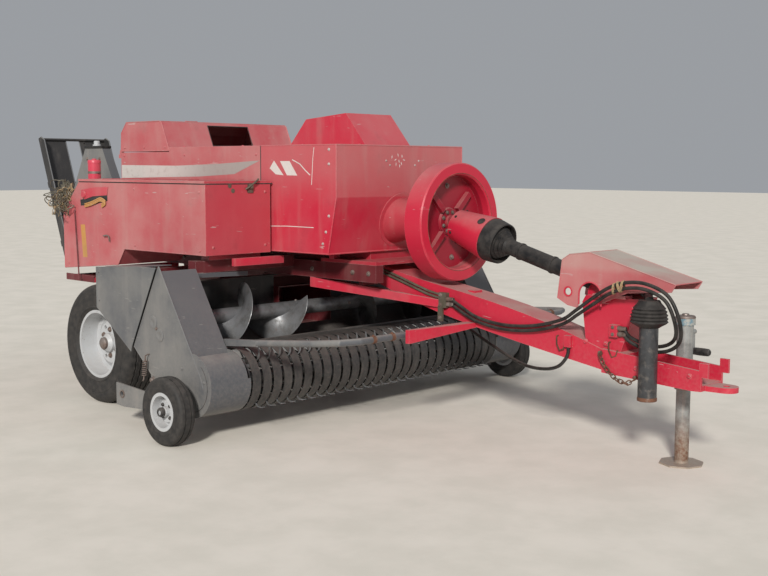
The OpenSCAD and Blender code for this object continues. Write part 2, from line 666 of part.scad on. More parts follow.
// Pickup
band_pitch = 2 * (pickup_half - 25) / bands;
tube_a = [1040, 456]; // upper rear tube of the strippers, x and z
tube_b = [1005, 220]; // lower rear tube of the strippers, x and z
function panel_front() = [[983, 929], [1002, 906], [1352, 361], [1373, 308]];
module panel_outline() {
    polygon(concat(panel_front(), [[1340, 176], [931, 297], [733, 463]]));
    translate([reel_x, reel_z]) circle(r = band_r, $fn = 96);
}
module pickup_end() {
    plate_xz(panel_in - 4, panel_in) panel_outline();
    plate_xz(pickup_half + 10, panel_in - 4) polygon([[1002, 906], [1338, 383], [1332, 380], [996, 903]]);
    // Columns: inner face, outer face and upper limit of the two parts of the round shell
    for (cut = [[pickup_half, panel_in - 4, 90], [pickup_half - 20, pickup_half, 30]])
        plate_xz(cut[0], cut[1]) difference() {
        translate([reel_x, reel_z]) circle(r = band_r, $fn = 96);
        translate([reel_x, reel_z]) circle(r = band_r - 4, $fn = 96);
        translate([reel_x - 200, reel_z + cut[2]]) square([cut[2] < 90 ? 400 : 1, 200]);
        polygon([[reel_x - 300, reel_z - 40], [reel_x + 20, reel_z - 40], [reel_x + 68, reel_z + 90],
            [reel_x + 50, reel_z + 300], [reel_x - 300, reel_z + 300]]);
    }
    difference() {
        plate_xz(pickup_half, pickup_half + 10) {
            polygon([[885, 560], [943, 630], [1180, 600], [1338, 383], [1260, 170], [985, 195]]);
            translate([reel_x, reel_z]) circle(r = band_r - 4, $fn = 96);
        }
        bar_y(pickup_half - 1, pickup_half + 20, pivot_x, pivot_z, 20 + fit);
        bar_y(pickup_half - 1, pickup_half + 20, reel_x, reel_z, 17.5 + fit);
    }
    bar_y(pickup_half - 30, pickup_half + 1, guard_hinge[0], guard_hinge[1], hinge_pin_r);
}
module pickup_end_right() color("gray") at_axle() on_side(-1) pickup_end();
module pickup_end_left() color("gray") at_axle() on_side(1) pickup_end();

module band_outline() {
    difference() {
        translate([reel_x, reel_z]) circle(r = band_r, $fn = 96);
        translate([reel_x, reel_z]) circle(r = band_r - 4, $fn = 96);
        polygon([[reel_x, reel_z], [reel_x - 60, reel_z + 220], [reel_x - 300, reel_z + 220],
            [reel_x - 300, reel_z - 220], [reel_x - 60, reel_z - 220]]);
    }
    polygon([[reel_x - 40, reel_z + band_r - 5], [reel_x - 40, reel_z + band_r - 9], tube_a - [0, 2],
        tube_a + [0, 2]]);
    polygon([[reel_x - 44, reel_z - band_r + 6], [reel_x - 44, reel_z - band_r + 10], tube_b + [0, 2],
        tube_b - [0, 2]]);
}
module strippers() {
    color("#3c3e42") at_axle() {
        for (i = [0:bands - 1]) let (y = -bands * band_pitch / 2 + (i + 0.5) * band_pitch)
            plate_xz(y - band_w / 2, y + band_w / 2) band_outline();
        bar_y(-pickup_half, pickup_half, tube_a[0], tube_a[1], 12);
        bar_y(-pickup_half, pickup_half, tube_b[0], tube_b[1], 16);
    }
}
rod_pitch = 140;
module wind_guard() {
    color("slategray") at_axle() {
        bar_y(-pipe_half, pipe_half, guard_pipe[0], guard_pipe[1], guard_pipe_r);
        for (i = [-6:5]) let (y = (i + 0.5) * rod_pitch) {
            link([guard_pipe[0], y, guard_pipe[1] - 6], [1850, y, 553], rod_r);
            link([1852, y, 553], [1640, y, 503], rod_r);
        }
    }
}
module guard_arm() {
    elbow = [[1505, arm_mid, 537], [1900, arm_mid - 45, 572], [2040, arm_mid - 97, 585]];
    difference() {
        plate_xz(arm_mid - 11, arm_mid + 11) {
            translate(guard_hinge) circle(r = 19, $fn = 48);
            polygon([guard_hinge + [2, 19], guard_hinge + [2, -19], [1520, 521], [1520, 555]]);
        }
        bar_y(arm_mid - 20, arm_mid + 20, guard_hinge[0], guard_hinge[1], hinge_pin_r + fit);
    }
    for (i = [0, 1]) link(elbow[i], elbow[i + 1], guard_pipe_r);
    for (i = [1, 2]) translate(elbow[i]) sphere(r = guard_pipe_r, $fn = 32);
    link(elbow[2], [guard_pipe[0], pipe_half + guard_pipe_r, guard_pipe[1]], guard_pipe_r);
    translate([guard_pipe[0], pipe_half + guard_pipe_r, guard_pipe[1]]) sphere(r = guard_pipe_r, $fn = 32);
    bar_y(pipe_half + 0.3, pipe_half + guard_pipe_r, guard_pipe[0], guard_pipe[1], guard_pipe_r);
}
module guard_arm_right() color("slategray") at_axle() on_side(-1) guard_arm();
module guard_arm_left() color("slategray") at_axle() on_side(1) guard_arm();
bar_place = 105;
function polar(p, a) = [p[0] * cos(a + p[1]), p[0] * sin(a + p[1])];
// Outline of one kneed tine as radius and angle from its bar: out along one edge, back along the other
tine_line = [[bar_place, -2], [150, -4], [185, -4], [200, -2.5], [218, 2], [tine_r, 8], [tine_r - 1, 9.4],
    [213, 3.4], [196, -0.9], [184, -2.3], [150, -2], [bar_place, 1]];
module tine_reel() {
    color("dimgray") at_axle() {
        bar_y(-pickup_half - 10, pickup_half + 10, reel_x, reel_z, 17.5);
        bar_y(-tine_half, tine_half, reel_x, reel_z, 30);
        for (y = [-1, -1 / 3, 1 / 3, 1] * (tine_half - 20)) bar_y(y - 5, y + 5, reel_x, reel_z, 122);
        for (a = [45:90:315]) {
            bar_y(-tine_half, tine_half, reel_x + bar_place * cos(a), reel_z + bar_place * sin(a), 13);
            for (i = [1:bands - 1]) let (y = -bands * band_pitch / 2 + i * band_pitch)
                plate_xz(y - 3, y + 3) translate([reel_x, reel_z]) polygon([for (p = tine_line) polar(p, a)]);
        }
    }
}
module gauge_arm() {
    arm_y = panel_in + 38;
    difference() {
        plate_xz(arm_y, arm_y + 12) union() {
            polygon([[620, 250], [620, 122], [700, 118], [gauge_x, gauge_r - 32], [gauge_x, gauge_r + 32]]);
            translate([gauge_x, gauge_r]) circle(r = 32, $fn = 48);
        }
        bar_y(arm_y - 1, arm_y + 20, 680, 190, 16);
    }
    bar_y(panel_in, arm_y, 1090, 280, 20);
    bar_y(panel_in, arm_y, 990, 310, 20);
    plate_xz(arm_y, arm_y + 12) polygon([[960, 190], [1130, 190], [1120, 305], [970, 335]]);
    bar_y(arm_y + 12, gauge_y + 30, gauge_x, gauge_r, gauge_pin_r);
}
module gauge_arm_right() color("gray") at_axle() on_side(-1) gauge_arm();
module gauge_arm_left() color("gray") at_axle() on_side(1) gauge_arm();

// Rear end of the case
tower_t = 70;
tower_top = [[-1355, 1606], [-1125, 1606]]; // rear and front upper corners, x and z
tower_foot = [[-1625, 1140], [-865, 1140]]; // rear and front lower corners, x and z
tower_wall = 8;
module density_tower() {
    inner = case_y + rib + 0.3;
    base = case_top + case_wall + 0.3;
    color("lightslategray") at_axle() {
        for (s = [-1, 1]) on_side(s) difference() {
            plate_xz(inner, inner + tower_t)
                polygon([tower_foot[0], tower_top[0], tower_top[1], tower_foot[1]]);
            plate_xz(inner - 1, inner + tower_t - sheet)
                polygon([tower_foot[0] + [tower_wall, -1], tower_top[0] + [5, -tower_wall],
                    tower_top[1] - [5, tower_wall], tower_foot[1] - [tower_wall, 1]]);
        }
        block(-1290, -1190, -inner - tower_t + sheet / 2, inner + tower_t - sheet / 2, base, base + 60);
    }
}
module chute() {
    color("dimgray") at_axle() translate([chute_x, 0, chute_z]) rotate([0, -chute_lean, 0]) {
        side_x = chute_side - chute_bar;
        for (s = [-1, 1]) on_side(s) {
            plate_xz(chute_half - 5, chute_half) polygon([[-chute_bar, 20], [-16, -16], [16, -12],
                [side_x, 110], [side_x, chute_len - 40], [side_x - 40, chute_len],
                [-chute_bar, chute_len]]);
            block(-chute_bar, -chute_bar + 4, chute_half - runner_w, chute_half, 60, chute_len);
        }
        for (z = [130, 0.6 * chute_len])
            block(-chute_bar - 10, -chute_bar + 1, -chute_half, chute_half, z, z + 45);
        bar_y(-chute_half, chute_half, -chute_bar + 11, chute_len - 11, 11);
        bar_y(-chute_half, chute_half, 0, 0, chute_pin_r);
    }
}
module step() {
    color("crimson") at_axle() {
        block(-522, -190, -1005, -780, 735, 765);
        block(-400, -350, -790, -rail_y, 745, rail_z - 0.3);
    }
}
module canister() {
    color("crimson") at_axle() {
        translate([-492, -800, 1249]) cylinder(r = 42, h = 250, $fn = 48);
        block(-545, -446, -880, -720, 1237, 1250);
        block(-540, -500.3, -880, -720, 1160, 1238);
    }
}

// Steel lines and hoses along the tongue
line_r = 7;
hose_r = 9;
line_side = -tongue_half - line_r - 0.3;
line_points = [[1474, line_side, 862], [1660, line_side, 812], [1860, line_side, 756],
    [1959.7, line_side, 741]];
module steel_lines() {
    color("#555046") at_axle() {
        for (dz = [0, 20]) tube_along([for (p = line_points) p + [0, 0, dz]], line_r, 2);
        block(1959.7, 2015, -tongue_half - 28, -tongue_half, 690, 775);
        block(1954, 1988, -tongue_half - 28, -tongue_half - 16, 612, 700);
    }
}
route_a = [[2015.3, -106, 712], [2030, -106, 712], [2045, -106, 712], [2120, -111, 680],
    [2240, -114, 636], [2420, -114, 612], [2620, -116, 626],
    [2807, -124, 676], [2920, -145, 740], [3034, -160, 811], [3140, -185, 870], [3250, -215, 903],
    [3350, -215, 903], [3440, -195, 858], [3482, -180, 770], [3470, -140, 685], [3400, -95, 632],
    [3300, -80, 615], [3200, -96, 648], [3160, -97, 686], [3146, -97, 686], [3130, -97, 686]];
route_b = [[2015.3, -106, 740], [2030, -106, 740], [2045, -106, 740], [2120, -114, 710],
    [2240, -118, 661], [2420, -118, 637], [2620, -120, 651],
    [2807, -128, 701], [2915, -149, 764], [3024, -166, 836], [3132, -190, 896], [3246, -218, 930],
    [3356, -218, 930], [3458, -198, 880], [3510, -182, 772], [3492, -135, 668], [3408, -88, 606],
    [3300, -72, 588], [3200, -92, 622], [3160, -97, 658], [3146, -97, 658], [3130, -97, 658]];
route_lift = [[2835, -101, 559.2], [2835, -101, 530], [2820, -103, 495], [2770, -90, 452],
    [2674, -50, 420], [2538, 0, 404], [2399, 50, 412], [2200, 105, 460], [1990, 130, 540],
    [1820, 136, 620], [1752, 131, 676], [1749, 130, 698.6]];
module hose_a() color("#1c1c1c") at_axle() tube_along(route_a, hose_r, 3);
module hose_b() color("#1c1c1c") at_axle() tube_along(route_b, hose_r, 3);
module hose_lift() color("#1c1c1c") at_axle() tube_along(route_lift, hose_r, 4);

axle_beam();
bale_case();
main_frame();
gearbox();
tongue();
pto_post();
pto_cover();
jack();
clutch_guard();
pto_rear();
pto_front();
tyre_right();
rim_right();
tyre_left();
rim_left();
flywheel();
front_shield();
upper_body();
front_hood();
knotter_hood();
knotters();
needles();
twine_box_right();
twine_box_left();
twine_lid_right();
twine_lid_left();
side_guard_right();
side_guard_left();
feeder_pan();
feeder_duct();
auger();
pickup_end_right();
pickup_end_left();
strippers();
wind_guard();
tine_reel();
gauge_arm_right();
gauge_arm_left();
gauge_tyre_right();
gauge_rim_right();
gauge_tyre_left();
gauge_rim_left();
density_tower();
chute();
step();
canister();
steel_lines();
hose_a();
hose_b();
hose_lift();
brace_right();
brace_left();
guard_hook();
guard_arm_right();
guard_arm_left();
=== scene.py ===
import json
from math import copysign, cos, pi, radians, sin
from random import seed, uniform

import bmesh
import bpy
from mathutils import Matrix, Vector


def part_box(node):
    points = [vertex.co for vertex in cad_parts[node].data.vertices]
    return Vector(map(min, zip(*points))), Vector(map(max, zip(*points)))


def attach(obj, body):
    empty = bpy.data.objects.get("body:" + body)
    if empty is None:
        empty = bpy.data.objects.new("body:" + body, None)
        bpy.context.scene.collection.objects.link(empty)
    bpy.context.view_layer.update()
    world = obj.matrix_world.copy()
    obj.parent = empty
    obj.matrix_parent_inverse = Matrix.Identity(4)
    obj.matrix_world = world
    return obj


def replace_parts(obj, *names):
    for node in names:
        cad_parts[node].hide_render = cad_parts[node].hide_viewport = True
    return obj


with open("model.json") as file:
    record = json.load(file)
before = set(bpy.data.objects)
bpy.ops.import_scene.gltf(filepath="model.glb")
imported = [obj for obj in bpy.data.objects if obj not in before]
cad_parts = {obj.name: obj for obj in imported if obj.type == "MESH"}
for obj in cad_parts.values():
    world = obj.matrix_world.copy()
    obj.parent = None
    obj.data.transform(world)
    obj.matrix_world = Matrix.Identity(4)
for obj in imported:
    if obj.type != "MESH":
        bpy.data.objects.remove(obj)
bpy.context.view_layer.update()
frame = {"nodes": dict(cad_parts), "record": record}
nodes = frame["nodes"]
seed(11)

# Places below are measured forward of the main axle, as in the part's source, in metres.
wheel_low, wheel_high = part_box("tyre_right")
AXLE_X = (wheel_low.x + wheel_high.x) / 2
SIDES = (-1, 1)
SIDE_NAME = {-1: "right", 1: "left"}


def at(x, y, z):
    return Vector((x + AXLE_X, y, z))


def new_object(name, data):
    made = bpy.data.objects.new(name, data)
    bpy.context.scene.collection.objects.link(made)
    return made


# Camera
CAMERA_PLACE = (6.196, -4.897, 1.474)
CAMERA_TURN = radians(44.31)
CAMERA_PITCH = radians(6.048)
CAMERA_ROLL = radians(0.165)
FOCAL_PX = 1139.8
IMAGE_W = 768


def make_camera():
    data = bpy.data.cameras.new("camera")
    data.sensor_width = 36
    data.lens = data.sensor_width * FOCAL_PX / IMAGE_W
    flat = cos(CAMERA_PITCH)
    back = Vector((sin(CAMERA_TURN) * flat, -cos(CAMERA_TURN) * flat, sin(CAMERA_PITCH)))
    right = Vector((cos(CAMERA_TURN), sin(CAMERA_TURN), 0))
    up = back.cross(right)
    c, s = cos(CAMERA_ROLL), sin(CAMERA_ROLL)
    turned = Matrix((c * right + s * up, c * up - s * right, back)).transposed()
    camera = new_object("camera", data)
    camera.matrix_world = Matrix.Translation(at(*CAMERA_PLACE)) @ turned.to_4x4()
    bpy.context.scene.camera = camera


make_camera()


# Free hoses: the same routes as in the part's source, in millimetres
ROUTE_A = [(2015.3, -106, 712), (2030, -106, 712), (2045, -106, 712), (2120, -111, 680), (2240, -114, 636),
    (2420, -114, 612), (2620, -116, 626), (2807, -124, 676), (2920, -145, 740), (3034, -160, 811),
    (3140, -185, 870), (3250, -215, 903), (3350, -215, 903), (3440, -195, 858), (3482, -180, 770),
    (3470, -140, 685), (3400, -95, 632), (3300, -80, 615), (3200, -96, 648), (3160, -97, 686),
    (3146, -97, 686), (3130, -97, 686)]
ROUTE_B = [(2015.3, -106, 740), (2030, -106, 740), (2045, -106, 740), (2120, -114, 710), (2240, -118, 661),
    (2420, -118, 637), (2620, -120, 651), (2807, -128, 701), (2915, -149, 764), (3024, -166, 836),
    (3132, -190, 896), (3246, -218, 930), (3356, -218, 930), (3458, -198, 880), (3510, -182, 772),
    (3492, -135, 668), (3408, -88, 606), (3300, -72, 588), (3200, -92, 622), (3160, -97, 658),
    (3146, -97, 658), (3130, -97, 658)]
ROUTE_LIFT = [(2835, -101, 559.2), (2835, -101, 530), (2820, -103, 495), (2770, -90, 452),
    (2674, -50, 420), (2538, 0, 404), (2399, 50, 412), (2200, 105, 460), (1990, 130, 540),
    (1820, 136, 620), (1752, 131, 676), (1749, 130, 698.6)]
HOSE_R = 0.009
ROUTE_STEPS = 8


def smooth_route(points, steps):
    """The same curve through the points as in the part's source."""
    def spot(i):
        return Vector(points[max(0, min(len(points) - 1, i))])
    line = []
    for i in range(len(points) - 1):
        a, b, c, d = spot(i - 1), spot(i), spot(i + 1), spot(i + 2)
        for j in range(steps):
            t = j / steps
            line.append(0.5 * (2 * b + (c - a) * t + (2 * a - 5 * b + 4 * c - d) * t ** 2
                + (3 * b - a - 3 * c + d) * t ** 3))
    line.append(spot(len(points) - 1))
    return line


def route_line(route):
    """A hose's smooth line in the frame."""
    return [at(*(v / 1000)) for v in smooth_route(route, ROUTE_STEPS)]


def length_of(line):
    return sum((b - a).length for a, b in zip(line, line[1:]))


def curve_piece(name, line, radius, material, body):
    data = bpy.data.curves.new(name, "CURVE")
    data.dimensions = "3D"
    data.bevel_depth = radius
    data.bevel_resolution = 6
    data.use_fill_caps = True
    spline = data.splines.new("POLY")
    spline.points.add(len(line) - 1)
    for point, place in zip(spline.points, line):
        point.co = (*place, 1)
    piece = new_object(name, data)
    data.materials.append(material)
    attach(piece, body)
    return piece


# Materials by name; every finished Paint enters itself
PALETTE = {}


class Paint:
    """Builds one material's nodes, with the part's own places as coordinates."""
    def __init__(self, name):
        self.name = name
        self.material = bpy.data.materials.new(name)
        self.material.use_nodes = True
        self.tree = self.material.node_tree
        self.shader = self.tree.nodes["Principled BSDF"]
        self.place = self.node("TexCoord").outputs["Object"]
        self.normal = self.node("NewGeometry").outputs["Normal"]

    def link(self, value, socket):
        if isinstance(value, bpy.types.NodeSocket):
            self.tree.links.new(value, socket)
        else:
            socket.default_value = value

    def node(self, kind, inputs=None, **settings):
        """A new node with its settings, and a value or a link for each named input."""
        made = self.tree.nodes.new("ShaderNode" + kind)
        for name, value in settings.items():
            setattr(made, name, value)
        for name, value in (inputs or {}).items():
            self.link(value, made.inputs[name])
        return made

    def scaled(self, scale):
        return self.node("Mapping", {"Vector": self.place, "Scale": scale}).outputs["Vector"]

    def noise(self, scale, detail=4, rough=0.55, stretch=None, distort=0.0):
        place = self.scaled(stretch) if stretch else self.place
        return self.node("TexNoise", {"Vector": place, "Scale": scale, "Detail": detail,
            "Roughness": rough, "Distortion": distort}).outputs["Fac"]

    def cells(self, scale):
        return self.node("TexVoronoi", {"Vector": self.place, "Scale": scale}).outputs["Distance"]

    def ramp(self, value, low, high, out_low=0.0, out_high=1.0):
        return self.node("MapRange", {"Value": value, "From Min": low, "From Max": high, "To Min": out_low,
            "To Max": out_high}, interpolation_type="SMOOTHSTEP").outputs["Result"]

    def math(self, kind, a, b=0.0):
        clamp = kind in ("ADD", "MULTIPLY")
        return self.node("Math", {0: a, 1: b}, operation=kind, use_clamp=clamp).outputs[0]

    def times(self, a, b):
        return self.math("MULTIPLY", a, b)

    def plus(self, a, b):
        return self.math("ADD", a, b)

    def axis(self, vector, name):
        return self.node("SeparateXYZ", {0: vector}).outputs[name]

    def along(self, name):
        return self.axis(self.place, name)

    def facing(self, name):
        return self.axis(self.normal, name)

    def grain(self, scale, detail, rough, low, high, out_low=0.0, out_high=1.0):
        return self.ramp(self.noise(scale, detail, rough), low, high, out_low, out_high)

    def edges(self, radius):
        """1 along the shape's edges and 0 on its flats, from a rounded normal."""
        rounded = self.node("Bevel", {"Radius": radius}, samples=4)
        dot = self.node("VectorMath", {0: rounded.outputs["Normal"], 1: self.normal},
            operation="DOT_PRODUCT")
        return self.ramp(dot.outputs["Value"], 0.995, 0.86)

    def mix(self, amount, a, b):
        a, b = ((*c, 1) if isinstance(c, tuple) else c for c in (a, b))
        return self.node("Mix", {"Factor": amount, "A": a, "B": b}, data_type="RGBA").outputs["Result"]

    def bump(self, height, strength, distance):
        made = self.node("Bump", {"Strength": strength, "Distance": distance, "Height": height})
        self.link(made.outputs["Normal"], self.shader.inputs["Normal"])

    def finish(self, colour, rough, metal=0.0, specular=0.5):
        self.link(colour, self.shader.inputs["Base Color"])
        self.link(rough, self.shader.inputs["Roughness"])
        self.shader.inputs["Metallic"].default_value = metal
        self.shader.inputs["Specular IOR Level"].default_value = specular
        PALETTE[self.name] = self.material


DUST = (0.46, 0.40, 0.35)
RUST = (0.15, 0.052, 0.026)
PRIMER = (0.50, 0.44, 0.42)


def worn_paint(name, colour, faded, dust=0.35, fade=0.5, scratch=0.5, rust=0.3, rough=0.42, wear=0.6,
        bare=PRIMER, dark=None, dents=0.35, clean_and_shaded=None, bleach_and_sheen=None, dirt_and_shade_zone=None):
    """Sun-bleached machine paint with runs, settled dust, scratches, worn edges and rust spots; its masks
    can also add painted sheen and painted shade.
    """
    p = Paint(name)
    # Faces under this mask keep the base colour: less dust and fading, and on the grey panels painted
    # shade.
    kept = p.math("SUBTRACT", 1.0, clean_and_shaded(p)) if clean_and_shaded else 1.0
    patches = p.grain(2.2, 5, 0.6, 0.3, 0.68)
    blotches = p.grain(9, 6, 0.65, 0.3, 0.75)
    body = p.mix(p.times(patches, p.times(kept, fade)), colour, faded)
    body = p.mix(p.times(blotches, p.times(kept, fade * 0.4)), body, faded)
    grime = p.times(p.grain(4.5, 6, 0.7, 0.52, 0.78), 0.28)
    body = p.mix(grime, body, dark or tuple(c * 0.35 for c in colour))
    # Darker colour inside the zone's mask: dirt and painted shade.
    if dirt_and_shade_zone:
        body = p.mix(dirt_and_shade_zone(p), body, tuple(c * 0.3 for c in colour))
    runs = p.ramp(p.noise(14, 4, 0.5, stretch=(1, 1, 0.12)), 0.5, 0.78)
    body = p.mix(p.times(runs, p.times(kept, dust * 0.5)), body, DUST)
    upward = p.ramp(p.facing("Z"), 0.15, 0.95)
    speckle = p.grain(55, 5, 0.7, 0.35, 0.65)
    settled = p.times(upward, p.grain(5, 6, 0.6, 0.2, 0.8, 0.45, 1.0))
    low = p.ramp(p.along("Z"), 0.9, 0.1, 0.0, 0.55)
    film = p.plus(p.times(settled, dust), p.times(low, p.times(speckle, dust)))
    # The added mask brings more dust, and on the front shield a painted sheen.
    if bleach_and_sheen:
        film = p.plus(film, bleach_and_sheen(p, settled))
    body = p.mix(film, body, DUST)
    lines = p.ramp(p.noise(7, 2, 0.4, stretch=(1.0, 1.0, 9.0), distort=1.2), 0.735, 0.75)
    nicks = p.ramp(p.noise(38, 3, 0.6, stretch=(0.4, 0.4, 2.0)), 0.73, 0.76)
    marks = p.times(p.plus(lines, nicks), scratch)
    body = p.mix(marks, body, bare)
    worn = p.times(p.edges(0.005), p.ramp(p.noise(26, 5, 0.7), 0.36, 0.62, 0.1, wear))
    body = p.mix(worn, body, tuple((a + b) / 2 for a, b in zip(bare, faded)))
    spots = p.times(p.ramp(p.cells(60), 0.16, 0.09), p.grain(3.1, 3, 0.5, 0.55, 0.7))
    body = p.mix(p.times(spots, rust), body, RUST)
    roughness = p.ramp(p.plus(film, p.times(patches, 0.3)), 0.0, 1.0, rough, 0.85)
    p.bump(p.plus(p.times(p.noise(3.5, 2), 0.7), p.times(speckle, 0.04)), dents, 0.007)
    p.finish(body, roughness)


def rubber(name, colour, dust, dust_scale=18, rough=0.62):
    p = Paint(name)
    film = p.ramp(p.noise(dust_scale, 6, 0.7), 0.3, 0.8)
    upward = p.ramp(p.facing("Z"), 0.2, 1.0, 0.0, 0.35)
    body = p.mix(p.times(film, dust), colour, DUST)
    body = p.mix(p.times(upward, dust * 2), body, DUST)
    p.bump(p.noise(90, 4, 0.6), 0.3, 0.002)
    p.finish(body, p.ramp(film, 0, 1, rough, 0.9), specular=0.3)


def bare_metal(name, colour, dark, dust=0.25, rough=0.38, metal=0.85, rusty=0.6):
    p = Paint(name)
    stain = p.grain(12, 6, 0.65, 0.35, 0.75)
    body = p.mix(stain, colour, dark)
    body = p.mix(p.times(p.grain(30, 4, 0.6, 0.5, 0.8), dust), body, DUST)
    patches = p.times(p.grain(22, 5, 0.7, 0.58, 0.72), rusty)
    body = p.mix(patches, body, RUST)
    p.bump(p.noise(45, 4, 0.6), 0.25, 0.002)
    p.finish(body, p.ramp(stain, 0, 1, rough, rough + 0.25), metal=metal)


def jack_finish(name):
    """Galvanised tube with streaks: chipped blue cap above, rusty inner tube and dusty foot below."""
    p = Paint(name)
    height = p.along("Z")
    zinc = p.mix(p.grain(16, 6, 0.7, 0.35, 0.7), (0.33, 0.34, 0.33), (0.19, 0.19, 0.185))
    streaks = p.ramp(p.noise(60, 3, 0.5, stretch=(1, 1, 0.06)), 0.5, 0.7)
    zinc = p.mix(p.times(streaks, 0.45), zinc, (0.42, 0.40, 0.36))
    wobble = p.plus(height, p.grain(30, 5, 0.7, 0.3, 0.7, -0.008, 0.012))
    cap = p.mix(p.grain(40, 6, 0.7, 0.42, 0.56), (0.16, 0.27, 0.33), (0.40, 0.40, 0.37))
    body = p.mix(p.ramp(wobble, 0.694, 0.704), zinc, cap)
    rusty = p.mix(p.grain(50, 6, 0.7, 0.35, 0.65), (0.17, 0.075, 0.04), (0.30, 0.24, 0.19))
    body = p.mix(p.ramp(wobble, 0.30, 0.07), body, rusty)
    body = p.mix(p.ramp(height, 0.03, 0.009, 0.0, 0.75), body, (0.42, 0.36, 0.30))
    p.bump(p.noise(60, 4, 0.6), 0.3, 0.002)
    p.finish(body, p.ramp(streaks, 0, 1, 0.5, 0.72), metal=0.25)


def twine_fibre(name):
    p = Paint(name)
    body = p.mix(p.grain(160, 4, 0.6, 0.3, 0.7), (0.46, 0.34, 0.19), (0.26, 0.18, 0.10))
    p.bump(p.noise(400, 2), 0.5, 0.001)
    p.finish(body, 0.9)


def silver_stripe(name, low, high):
    """Plain stripe film, paler towards the rear, dusty and cracked."""
    p = Paint(name)
    along = p.ramp(p.along("X"), low, high)
    body = p.mix(along, (0.56, 0.53, 0.50), (0.36, 0.33, 0.31))
    body = p.mix(p.times(p.grain(24, 6, 0.7, 0.5, 0.72), 0.45), body, (0.32, 0.25, 0.23))
    p.bump(p.noise(70, 4, 0.6), 0.2, 0.001)
    p.finish(body, 0.45)


def forward_sides(p):
    """Upright faces from the flywheel to the hitch, washed by the weather."""
    ahead = p.ramp(p.along("X"), AXLE_X + 1.72, AXLE_X + 1.78)
    return p.times(ahead, p.ramp(p.facing("Z"), 0.6, 0.2, 0.0, 0.95))


def low_fronts(p):
    """Upright front faces below the hood, where less dust settles."""
    below = p.ramp(p.along("Z"), 1.46, 1.42)
    return p.times(below, p.ramp(p.facing("X"), 0.7, 0.9, 0.0, 0.85))


def cover_bleach(p, settled):
    """More dust on top of the driveline cover near the hitch, and a haze on the boxes' sides."""
    ahead = p.ramp(p.along("X"), AXLE_X + 2.6, AXLE_X + 2.7)
    high = p.ramp(p.along("Z"), 0.95, 0.99, 0.0, 0.24)
    side = p.ramp(p.math("ABSOLUTE", p.facing("Y")), 0.8, 0.95, 0.0, 0.11)
    return p.plus(p.times(ahead, p.plus(p.times(settled, 0.62), high)), side)


def shield_sheen_and_tongue_dust(p, settled):
    """Painted sheen on the upper half of the front shield, lighter above its crease, and more dust on top
    of the tongue.
    """
    # Painted sheen: the front face is lighter above the crease, where the lower face slopes down into
    # shade.
    crease = p.times(p.ramp(p.along("Z"), 1.299, 1.309), p.ramp(p.facing("X"), 0.5, 0.8, 0.0, 0.11))
    above = p.plus(p.ramp(p.along("Z"), 1.18, 1.52, 0.0, 0.16), crease)
    above = p.times(above, p.ramp(p.along("Z"), 1.606, 1.601))
    behind = p.ramp(p.along("X"), AXLE_X + 1.70, AXLE_X + 1.66)
    tongue = p.times(p.math("SUBTRACT", 1.0, behind), p.ramp(p.along("Z"), 0.86, 0.82))
    return p.plus(p.times(above, behind), p.times(tongue, p.times(settled, 0.42)))


def flywheel_dirt_and_shade(p):
    """Oily dirt, and painted shade of the rim, on the web inside the flywheel's rim."""
    across = p.math("POWER", p.math("ABSOLUTE", p.along("Y")), 2.0)
    height = p.math("POWER", p.math("ABSOLUTE", p.math("SUBTRACT", p.along("Z"), 1.168)), 2.0)
    inside = p.ramp(p.math("SQRT", p.plus(across, height)), 0.285, 0.262, 0.0, 0.62)
    web = p.times(p.ramp(p.along("X"), AXLE_X + 1.88, AXLE_X + 1.90),
        p.ramp(p.along("X"), AXLE_X + 1.972, AXLE_X + 1.960))
    return p.times(inside, web)


def shaded_front_faces(p):
    """Faces that look forward, kept at the darker base colour as painted shade, since they are out of the
    direct sun.
    """
    return p.ramp(p.facing("X"), 0.5, 0.8, 0.0, 0.95)


# Frame red made dark as dirt and as painted shade of the frame under the body.
worn_paint("red_frame", (0.115, 0.007, 0.012), (0.15, 0.03, 0.035), dust=0.18, rough=0.5, rust=0.5)
# Front red: painted sheen on the shield's upper half and painted shade inside the flywheel.
worn_paint("red_front", (0.53, 0.016, 0.045), (0.50, 0.10, 0.12), dust=0.26, fade=0.42, rough=0.36,
    clean_and_shaded=forward_sides, bleach_and_sheen=shield_sheen_and_tongue_dust, dirt_and_shade_zone=flywheel_dirt_and_shade)
worn_paint("red_cover", (0.46, 0.045, 0.065), (0.50, 0.185, 0.185), dust=0.30, fade=0.8, rough=0.46,
    clean_and_shaded=low_fronts, bleach_and_sheen=cover_bleach)
worn_paint("canister_red", (0.60, 0.03, 0.07), (0.56, 0.12, 0.15), dust=0.15, fade=0.3, rough=0.28,
    scratch=0.25, wear=0.3)
worn_paint("gearbox_paint", (0.40, 0.014, 0.034), (0.38, 0.075, 0.085), dust=0.2, fade=0.35, rough=0.45)
# The grey panels' forward faces keep the darker base colour as painted shade.
worn_paint("grey_panel", (0.084, 0.090, 0.102), (0.215, 0.21, 0.20), dust=0.22, fade=0.78, rough=0.5,
    bare=(0.30, 0.29, 0.27), rust=0.5, wear=0.45, clean_and_shaded=shaded_front_faces)
